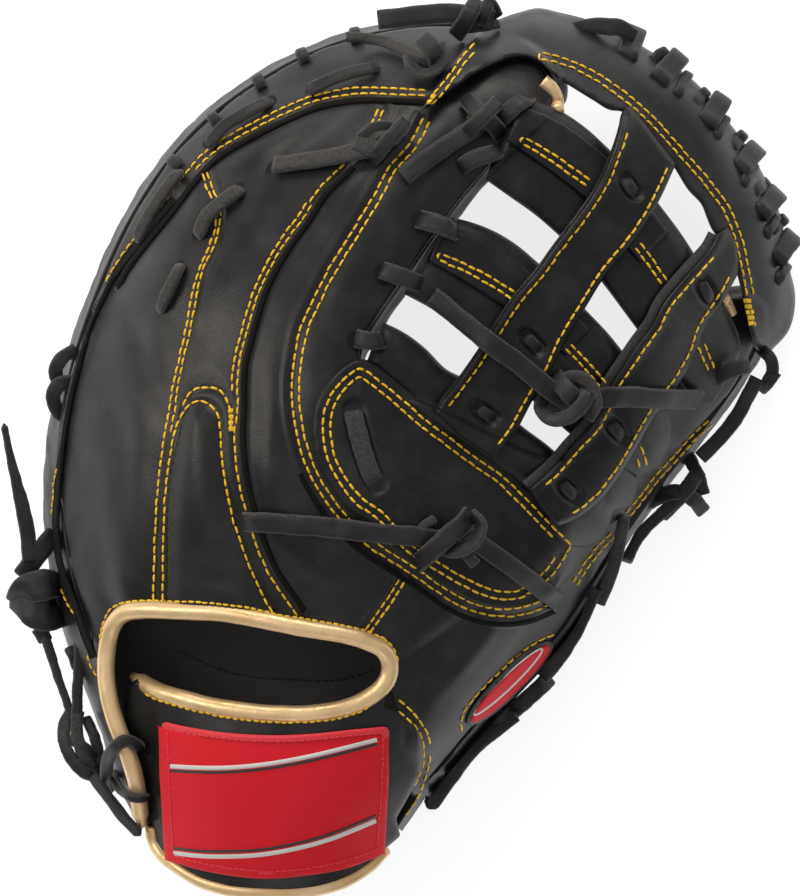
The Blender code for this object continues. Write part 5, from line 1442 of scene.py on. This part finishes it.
def laid(name, width, rows, dive=(True, True), suede=False, among=None, gap=3.5, rise=0.35, seed=1, arch=0.8, tight=True, round_end=False, thick=THONG):
    """A lace through rows of u, v and z, resting on what is below it where z is -1. Its ends dive in where asked. width is in units."""
    r = np.array([(*row, -1.0)[:3] for row in rows], float)
    free = r[:, 2] < 0
    line = curve([tuple(q) for q in r[:, :2]], gap=gap)
    along = np.concatenate([[0], np.cumsum(np.linalg.norm(np.diff(line, axis=0), axis=1))])
    nrm = inward(line)
    w = np.broadcast_to(np.asarray(width, float), (2,)) if np.size(width) < 3 else np.asarray(width, float)
    w = np.interp(along / along[-1], np.linspace(0, 1, len(w)), w)
    hs = []
    for k in (-0.36, 0.0, 0.36):
        q = line + nrm * (k * w)[:, None]
        hs.append(seen(q[:, 0], q[:, 1], among)[0])
    hs = np.array(hs)
    tilt = np.zeros(len(line))
    ok = ~np.isnan(hs).any(0)
    tilt[ok] = np.degrees(np.arctan2(hs[2][ok] - hs[0][ok], 0.72 * w[ok] * STEP))
    tilt = soften(np.clip(tilt, -28, 28), 6)
    z = np.where(np.isnan(hs).all(0), np.nan, np.nanmax(np.where(np.isnan(hs), -1e3, hs), axis=0))
    if free.any():
        good = ~np.isnan(z)
        z = np.interp(along, along[good], z[good]) if good.any() else np.full(len(line), 20.0)
        z = z + thick / 2 + rise
        z = taut(along, z) if tight else soften(np.maximum(z, soften(z, 4)), 3)
        z = z + arch * np.sin(math.pi * along / along[-1])
    else:
        z = np.zeros(len(line))
    if not free.all():
        at = np.array([along[np.argmin(((line - q[:2]) ** 2).sum(1))] for q in r])
        given = np.interp(along, at[~free], r[~free, 2])
        if free.any():
            edge_at = at[free].max() if at[~free].min() > at[free].min() else at[free].min()
            k = np.clip((along - edge_at) / 30.0, 0, 1) if at[~free].min() > at[free].min() else np.clip((edge_at - along) / 30.0, 0, 1)
            z = z * (1 - k) + given * k
        else:
            z = given
            tilt[:] = 0
    for end, flag in zip((0, 1), dive):
        if flag:
            s = along if end == 0 else along[-1] - along
            k = np.clip(s / 9.0, 0, 1)
            z = z - 3.6 * (1 - np.sqrt(1 - (1 - k) ** 2))
    path = place(line[:, 0], line[:, 1], z)
    return thong(name, path, w * STEP, tilt, suede, thick, seed, round_end), path


def strand(rows, width, base=0.0, suede=False, seed=1, gap=2.6, thick=THONG):
    """A free piece of lace through rows of u, v, z and tilt; width in units, z over a base in mm."""
    q = curve([(u, v, z + base, t) for u, v, z, t in rows], gap=gap)
    w = np.broadcast_to(np.asarray(width, float), (2,)) if np.size(width) < 3 else np.asarray(width, float)
    w = np.interp(np.linspace(0, 1, len(q)), np.linspace(0, 1, len(w)), w)
    return thong("strand", place(q[:, 0], q[:, 1], q[:, 2]), w * STEP, q[:, 3], suede, thick, seed)


def hole(name, spots, among=None):
    """Painted shade of punched holes: near-black discs laid on the surface where the holes look dark; u, v, half
    length, half width, turn in degrees.
    """
    verts, faces = [], []
    for u, v, a, b, turn in spots:
        t = np.linspace(0, 2 * math.pi, 19)[:-1]
        c, s = math.cos(math.radians(turn)), math.sin(math.radians(turn))
        k = len(verts)
        for f, lift_by in ((1.0, 0.03), (0.7, 0.09)):
            qu, qv = u + f * (a * np.cos(t) * c - b * np.sin(t) * s), v + f * (a * np.cos(t) * s + b * np.sin(t) * c)
            mid = seen([u], [v], among)[0][0]
            z = seen(qu, qv, among)[0]
            mid = np.nanmean(z) if np.isnan(mid) else mid
            z = np.where(np.isnan(z) | (np.abs(z - mid) > 4.0), mid, z) + lift_by
            verts.extend(place(qu, qv, z))
        verts.append(place(np.array([u]), np.array([v]), np.array([mid + 0.1]))[0])
        n = len(t)
        for i in range(n):
            j = (i + 1) % n
            faces += [(k + i, k + j, k + n + j, k + n + i), (k + n + i, k + n + j, k + 2 * n)]
    return claim(mesh(name, np.array(verts), faces, P_HOLE_SHADE, normals=False), "black_lace")


ON = list(LEATHERS)
HOLES = [
    (270, 168, 7, 3.5, -60), (272, 100, 5, 5, 0), (207, 144, 5, 4, -40), (136, 238, 6, 4, -60), (180, 170, 5, 4, -60), (197, 234, 7, 4.5, -60), (240, 186, 5, 4, -45), (161, 309, 5, 4, -70),
    (180, 265, 5, 4, -70), (312, 87, 5, 4, -10), (374, 68, 5, 4, -10), (150, 758, 4.2, 4.2, 0), (154, 817, 4.2, 4.2, 0), (419, 222, 8, 12, -20), (381, 275, 7, 11, -20), (354, 341, 7, 10, -25),
    (463, 163, 7, 8, 0), (500, 119, 6, 9, 20),
]
# near-black discs over the lace holes: painted shade
hole("lace_hole_shade", HOLES, ON)

for name, w, rows, suede, nodes in (
    ("finger_lace_a", 14, [(309, 90), (330, 80), (350, 73), (376, 67)], False, ("finger_lace_1",)),
    ("finger_lace_b", 14, [(209, 145), (222, 128), (244, 114), (268, 101)], False, ("finger_lace_2",)),
    ("finger_lace_c", 13, [(137, 238), (150, 212), (164, 192), (179, 172)], True, ("finger_lace_3",)),
    ("finger_lace_d", 15, [(198, 235), (206, 217), (221, 203), (239, 189)], True, ("finger_lace_4",)),
    ("finger_lace_e", 12, [(160, 310), (166, 295), (173, 281), (180, 266)], True, ("finger_lace_5",)),
):
    claim(laid(name, w, rows, suede=suede, among=ON, seed=len(name) + w, arch=1.0)[0], "black_lace", *nodes)

# a slot with the lace of the sleeve in it
claim(laid("slot_lace", 18, SLOT, suede=True, among=[SLEEVE_OB], arch=0.2, rise=-0.9, seed=5)[0], "black_lace", "sleeve_lace")

# short loops from the panel over the web's edge to the cross panels
for k, (w, rows) in enumerate((
    (17, [(498, 122), (507, 113), (518, 104), (528, 98)]), (17, [(461, 167), (472, 160), (486, 155), (499, 151)]), (19, [(418, 219), (430, 222), (443, 226), (456, 232)]),
    (18, [(381, 270), (394, 274), (408, 279), (420, 284)]), (18, [(355, 338), (364, 340), (374, 341), (383, 340)]),
)):
    claim(laid("web_loop_%d" % k, w, rows, among=ON, seed=30 + k, arch=1.6)[0], "black_lace")

# laces inside the posts' slots, over near-black discs that paint the shade in the slots' recesses
for k, (u, v, turn) in enumerate(A_SLOTS + B_SLOTS):
    hole("post_slot_shade_%d" % k, [(u, v, 12.5, 6.4, turn)], [POST_A_OB, POST_B_OB])
    c, s = math.cos(math.radians(turn)), math.sin(math.radians(turn))
    rows = [(u - 11 * c, v - 11 * s), (u - 4 * c, v - 4 * s), (u + 4 * c, v + 4 * s), (u + 11 * c, v + 11 * s)]
    claim(laid("post_lace_%d" % k, 11.0, rows, among=[POST_A_OB, POST_B_OB], seed=50 + k, arch=0.4, rise=-1.5)[0], "black_lace")
print("laces laid")


# --- free ends, each a cord of its own ---------------------------------------
def tail(name, node, w, rows, seed, suede=False, round_end=False, tilt=None, among=None):
    """rows start inside the knot."""
    r = np.array([(*row, -1.0)[:3] for row in rows], float)
    ob, path = laid(name, w, rows, dive=(False, False), suede=suede, among=among or ON, seed=seed, rise=0.5, arch=1.0, round_end=round_end)
    if tilt is not None:
        bpy.data.objects.remove(ob, do_unlink=True)
        BUILT.pop()
        ww = np.interp(np.linspace(0, 1, len(path)), np.linspace(0, 1, np.size(w)), np.ravel(w)) if np.size(w) > 1 else w
        ob = thong(name, path, ww * STEP, np.interp(np.linspace(0, 1, len(path)), np.linspace(0, 1, len(tilt)), tilt), suede, THONG, seed, round_end)
    claim(ob, "black_lace", node)
    return ob


tail("tail_top", "top_tail", 19.5, [(494, 20, 60), (474, 16, 60), (450, 13, 59), (420, 15, 57), (378, 20, 55)], 71)
tail("tail_tip", "tip_tail", (13, 14, 12, 11), [(442, 66, -1), (430, 60, -1), (410, 52, -1), (385, 42, -1), (364, 38, 50), (346, 37, 50)], 72, suede=True)
tail("tail_panel", "panel_tail", 18, [(392, 137), (372, 148), (345, 154), (318, 159), (292, 163), (274, 165)], 73, suede=True)
tail("tail_web_upper", "web_tail_a", 19, [(492, 106), (478, 124), (455, 140), (430, 157), (404, 176)], 74)
tail("tail_web_left", "web_tail_b", 20, [(572, 404), (548, 388), (520, 365), (490, 343), (460, 319), (432, 296)], 75)
tail("tail_web_right", "web_tail_c", 21, [(578, 400), (600, 398), (630, 397), (665, 399), (699, 400)], 76)
tail("tail_sleeve_left", "sleeve_tail_a", 20, [(442, 541), (420, 537), (395, 535), (350, 530), (300, 525), (245, 522)], 77)
tail("tail_sleeve_right", "sleeve_tail_b", 19, [(460, 530), (478, 543), (504, 561), (532, 582), (560, 603)], 78)
tail("tail_heel_upper", "heel_tail_a", (15, 16, 15, 11, 8, 7), [(29, 562, 30), (28, 538, 32), (23, 509, 35), (16, 480, 38), (9, 452, 41), (4, 424, 44)], 79, round_end=True)
tail("tail_heel_lower", "heel_tail_b", (11, 12, 12, 11), [(76, 752, 30), (92, 775, 31), (106, 794, 35), (122, 815, 41), (140, 835, 46)], 80, round_end=True)
tail("tail_thumb", "thumb_tail", (12, 14, 17, 17), [(516, 716, 22), (500, 728, 20), (482, 741, 17), (464, 760, 13), (444, 786, 9), (428, 808, 7)], 81, round_end=True)
print("tails laid")


# --- knots: strands crossed over one another ---------------------------------
def base_at(u, v, reach):
    """Greatest height below a patch of the view."""
    d = np.array([-1, 0, 1]) * reach
    z = seen(*(q.ravel() for q in np.meshgrid(u + d, v + d)), ON)[0]
    return float(np.nanmax(z)) if not np.isnan(z).all() else 20.0


def tied(name, node, base, *strands):
    """strands: width in units, suede or not, rows of u, v, z over the base and tilt."""
    parts = [strand(rows, w, base, suede, seed=90 + k) for k, (w, suede, rows) in enumerate(strands)]
    return claim(joined(name, parts), "black_lace", *([node] if node else []))


tied("knot_sleeve", "sleeve_knot", base_at(448, 540, 14),
     (19, False, [(470, 514, 1, 20), (464, 523, 5, 15), (450, 534, 8, 5), (437, 546, 7, -5), (425, 557, 3.5, -10), (417, 564, -1.5, -10)]),
     (15, False, [(440, 546, 2, 10), (453, 551, 5, 15), (467, 547, 6.2, 30), (478, 537, 6.8, 45), (481, 524, 6.5, 55), (473, 514, 4, 60)]),
     (12, True, [(462, 547, 1.5, 0), (468, 556, 2.8, 0), (475, 564, 1.2, 0)]),
     (9, True, [(418, 532, 1.5, 0), (426, 524, 3.2, 0), (434, 519, 1.5, 0)]))
tied("knot_web", "web_knot_b", base_at(571, 400, 10),
     (15, False, [(545, 396, 2, 20), (541, 408, 4.5, 30), (551, 419, 6.2, 35), (568, 417, 7.6, 20), (582, 405, 8.2, 5), (588, 391, 6, 0), (586, 382, 2, 0)]),
     (13, True, [(562, 381, 3, -20), (572, 376, 5.5, -30), (585, 379, 7, -40), (594, 390, 7, -40), (596, 404, 6, -35), (588, 418, 3, -20)]),
     (19, False, [(554, 376, 1.5, 0), (562, 385, 5.8, 0), (570, 394, 7.2, 0), (580, 404, 4, 0)]))
tied("knot_tip", "tip_knot", base_at(428, 60, 10),
     (14, False, [(409, 57, 1.5, 30), (412, 67, 4.5, 45), (422, 74, 6, 50), (435, 71, 6.5, 45), (444, 59, 6, 40), (440, 45, 3, 30)]),
     (19, False, [(423, 39, 1.5, 0), (430, 46, 5.2, 0), (436, 54, 5.8, 0), (439, 64, 3, 0)]))
tied("knot_top", "top_knot", 58.0,
     (17, False, [(456, 35, -3, 0), (463, 25, 4, 0), (470, 13, 6, 0), (477, 1, 0, 0)]),
     (14, False, [(479, 26, 1, 0), (485, 12, 4, 0), (489, 3, 2.5, 0), (497, 16, -3, 0)]),
     (10, True, [(462, 29, -2, 0), (480, 27, 0.0, 0), (498, 24, -5, 0)]))
tied("knot_panel", "panel_knot", base_at(380, 146, 8),
     (15, False, [(405, 122, 0.5, 0), (398, 130, 4.8, 0), (388, 141, 6.5, 0), (378, 153, 4.5, 0), (371, 161, -1, 0)]),
     (10, False, [(396, 128, 2.5, 0), (384, 125, 4.5, 0), (372, 128, 4.2, 0), (361, 137, 2, 0)]),
     (16, True, [(356, 141, 1.5, 0), (370, 147, 4, 10), (384, 151, 3, 20)]))
tied("knot_web_upper", "web_knot_a", base_at(480, 116, 9),
     (17, False, [(466, 99, -1, 0), (474, 107, 4.5, 0), (484, 116, 6.2, 0), (494, 126, 4, 0), (500, 134, -2, 0)]),
     (16, False, [(499, 101, -1, 0), (491, 109, 4.8, 0), (480, 120, 8, 0), (469, 131, 4.5, 0), (462, 138, -2, 0)]),
     (10, True, [(470, 116, 3, 60), (478, 124, 5, 60), (488, 126, 4, 60)]))
tied("knot_heel_upper", "heel_knot_a", 26.0,
     (20, False, [(54, 534, 0, 20), (44, 547, 3.5, 15), (32, 562, 3, 10), (22, 576, -1, 0)]),
     ((18, 30, 34, 24), False, [(14, 600, -3, -20), (23, 590, 4.2, -10), (38, 586, 6.8, 5), (50, 584, 5.0, 15), (60, 586, -3, 20)]),
     ((14, 34, 40, 34), False, [(12, 603, -3, -8), (24, 606, 2.5, -4), (38, 611, 4.4, 0), (49, 613, 3.2, 4), (59, 610, -3, 8)]),
     (15, False, [(46, 590, -3, 0), (56, 605, -3, 0), (58, 627, -5, 0)]),
     (15, False, [(38, 628, -1, 0), (42, 634, -2, 0), (45, 640, -4, 0)]))
tied("knot_heel_lower", "heel_knot_b", 27.0,
     (13, False, [(71, 712, -2, 0), (64, 728, 2.5, -20), (66, 748, 4.5, -25), (76, 765, 5.5, -20), (90, 775, 4.5, -10), (101, 773, 0, 0)]),
     (13, True, [(78, 712, 1, 0), (77, 732, 4.5, 0), (82, 750, 6.5, 0), (91, 766, 3.5, 0)]),
     (11, False, [(86, 718, -2, 20), (94, 736, 2.5, 10), (99, 756, 3.5, 0), (97, 776, -1, 0)]),
     (11, False, [(60, 738, -1, 0), (74, 741, 5.2, 0), (88, 750, 6.5, 0), (98, 760, 2, 0)]))
ztk = base_at(730, 372, 5)
tied("knot_thumb_upper", "thumb_knot_a", ztk - 1.0,
     (16, False, [(713, 381, -2, 0), (724, 373, 3, 0), (737, 368, 4.2, 0), (748, 366, 0.5, 0)]),
     (13, False, [(760, 348, -16, 0), (770, 358, -12, 0), (773, 370, -13, 0), (768, 382, -17, 0)]),
     (12, False, [(762, 390, -20, 0), (770, 381, -14, 0), (776, 372, -14, 0)]))
ztb = base_at(680, 480, 6)
tied("knot_thumb_lower", "thumb_knot_b", ztb - 2.0,
     (16, False, [(648, 503, -3, 0), (660, 496, 3, 0), (678, 492, 5.5, 0), (694, 500, 3, 0), (703, 511, -4, 0)]),
     (16, False, [(662, 515, -3, 0), (674, 503, 3, 0), (688, 487, 6.5, 0), (699, 471, 0, 0)]),
     (14, False, [(688, 456, -2, 0), (698, 475, 2.2, 0), (703, 494, 0, 0)]))

# --- laces along the heel and the thumb side ---------------------------------
claim(joined("heel_laces", [
    strand([(40, 618, 22, 0), (47, 642, 24, 0), (57, 674, 25, 0), (67, 703, 26, 0), (73, 722, 27, 0)], (11, 10, 8, 9), seed=140),
    strand([(79, 640, 30, 0), (79, 660, 30, 0), (77.5, 690, 29, 0), (76, 722, 28, 0)], 11, seed=141),
    strand([(68, 648, 24, 0), (72, 656, 25, 0), (76, 668, 22, 0)], 9, seed=142)]), "black_lace", "heel_lace")
for k, (w, rows) in enumerate(((13, [(140, 748), (129, 741), (117, 745), (109, 756), (106, 770), (108, 790)]), (9.5, [(113, 774), (119, 788), (131, 797), (147, 798)]))):
    claim(laid("binding_lace_%d" % k, w, rows, dive=(True, False), among=ON, seed=150 + k, arch=1.2, thick=2.6)[0], "black_lace")
claim(laid("thumb_band", 15, [(757, 378), (747, 398), (736, 418), (720, 438), (700, 458)], dive=(False, False), among=ON, seed=160)[0], "black_lace", "thumb_lace")
claim(laid("thumb_band_low", 12, [(672, 505), (656, 519), (641, 534), (627, 560)], dive=(False, True), among=ON, seed=161)[0], "black_lace")
claim(laid("thumb_suede", 13.5, [(624, 518), (620, 541), (611, 574), (599, 603)], dive=(True, False), suede=True, among=ON, seed=162)[0], "black_lace", "thumb_lace_b")
claim(laid("thumb_side", (11, 10, 12, 17), [(597, 588), (589, 609), (577, 634), (560, 658), (543, 676)], dive=(False, False), among=ON, seed=163)[0], "black_lace", "thumb_lace_c")
claim(joined("thumb_loops", [
    strand([(512, 712, 18, 0), (524, 702, 24, 0), (536, 691, 25, 0), (549, 678, 18, 0)], 17, seed=164),
    strand([(486, 728, 14, 0), (496, 720, 20, 0), (506, 711, 21, 0), (516, 702, 16, 0)], 15, seed=165)]), "black_lace")

# --- the lace wound round the web's rim --------------------------------------
MAIN = [(628, 53, 636, 31), (661, 77, 679, 57), (709, 120, 722, 99), (742, 166, 756, 149), (763, 211, 777, 194), (778, 257, 792, 237)]
BACKS = [(679, 92, 687, 76), (718, 134, 725, 120), (745, 181, 754, 167), (768, 232, 776, 218), (779, 278, 786, 267)]
NUBS = [(656, 58, 664, 52), (697, 100, 705, 93), (735, 144, 742, 136), (757, 190, 765, 183), (775, 227, 783, 220)]


def over_rim(a, b, c, d, width, high, seed):
    """One turn of lace from a hole at a, b over the rim's edge at c, d and down."""
    step = np.array([c - a, d - b], float)
    step /= np.linalg.norm(step)
    t = np.array([-5.0, 0.0, 6.0, 12.0])
    near_in = np.array([[a, b]]) + step * t[:, None]
    z, _ = seen(near_in[:, 0], near_in[:, 1], ON)
    z = np.where(np.isnan(z), np.nanmin(z) if not np.isnan(z).all() else 30.0, z)
    run = np.hypot(c - a, d - b)
    fall = z[-1] - max(0.0, run - 12) * 0.14
    e = np.array([c, d])
    rows = [
        (*near_in[0], z[0] - 2.4, 0), (*near_in[1], z[1] + high * 0.75, 0), (*near_in[2], z[2] + high * 1.1, 0), (*(e - step * 3), fall + high * 0.7, 0), (*(e + step * 1.5), fall - 2.0, 0),
        (*(e + step * 1.8), fall - 4.2, 0), (*(e - step * 1.0), fall - 6.6, 0), (*(e - step * 7.0), fall - 7.4, 0),
    ]
    return strand(rows, width, 0.0, False, seed, gap=2.2)


parts = [over_rim(*q, 22, 3.0, 170 + k) for k, q in enumerate(MAIN)]
parts += [over_rim(*q, 11, 1.6, 180 + k) for k, q in enumerate(BACKS)]
parts += [over_rim(*q, 12, -0.4, 190 + k) for k, q in enumerate(NUBS)]
zr = base_at(600, 30, 4)
parts.append(strand([(574, 27, zr - 3.5, 0), (588, 26, zr + 0.2, 0), (604, 26, zr + 0.6, 0), (620, 28, zr + 0.4, 0), (634, 36, zr - 3, 0)], (12, 17, 18, 16), seed=199))
claim(joined("rim_spiral", parts), "black_lace", "rim_lace")
# near-black discs at the holes the rim lace passes through: painted shade
hole("rim_hole_shade", [(a - 1, b + 1, 4.5, 9.5, -45) for a, b, _, _ in MAIN], [RIM_OB])

parts = []
for k, (u, v) in enumerate(((355, 33), (302, 54), (258, 80), (213, 118), (173, 161))):
    d = np.array([u - 440.0, v - 448.0])
    d /= np.linalg.norm(d)
    q = np.array([u, v]) - d * 12
    z = base_at(q[0], q[1], 2)
    parts.append(strand([(*(q + d * 2), z - 3.5, 0), (*(q + d * 9), z - 3.2, 0), (*(q + d * 14), z - 5, 0), (*(q + d * 15), z - 10, 0), (*(q + d * 10), z - 14, 0)], 12, seed=200 + k))
parts += [
    strand([(76, 350, 33, 0), (64, 356, 34, 0), (56, 367, 33, 0), (59, 382, 30, 0), (72, 386, 28, 0)], 14, seed=206),
    strand([(77, 384, 32, 0), (62, 383, 34, 0), (53, 395, 33, 0), (58, 411, 30, 0), (72, 419, 27, 0)], 15, seed=207),
]
claim(joined("tip_laces", parts), "black_lace", "edge_lace")

# gold ends of the lining that show at the finger tip and beside the rim
for name, rows, r in (("tip_gold", [(543, 81), (551, 88), (556, 98), (557, 112)], 2.6), ("side_gold", [(724, 297), (728, 305), (732, 315)], 2.0)):
    line = smooth_line(rows, 3)
    z = seen(line[:, 0], line[:, 1], ON)[0]
    z = np.where(np.isnan(z), np.nanmean(z) if not np.isnan(z).all() else 50.0, z)
    claim(pipe(name, line, soften(z, 4) + 0.6, r, P_GOLD, 12, 0.9), "gold_binding")
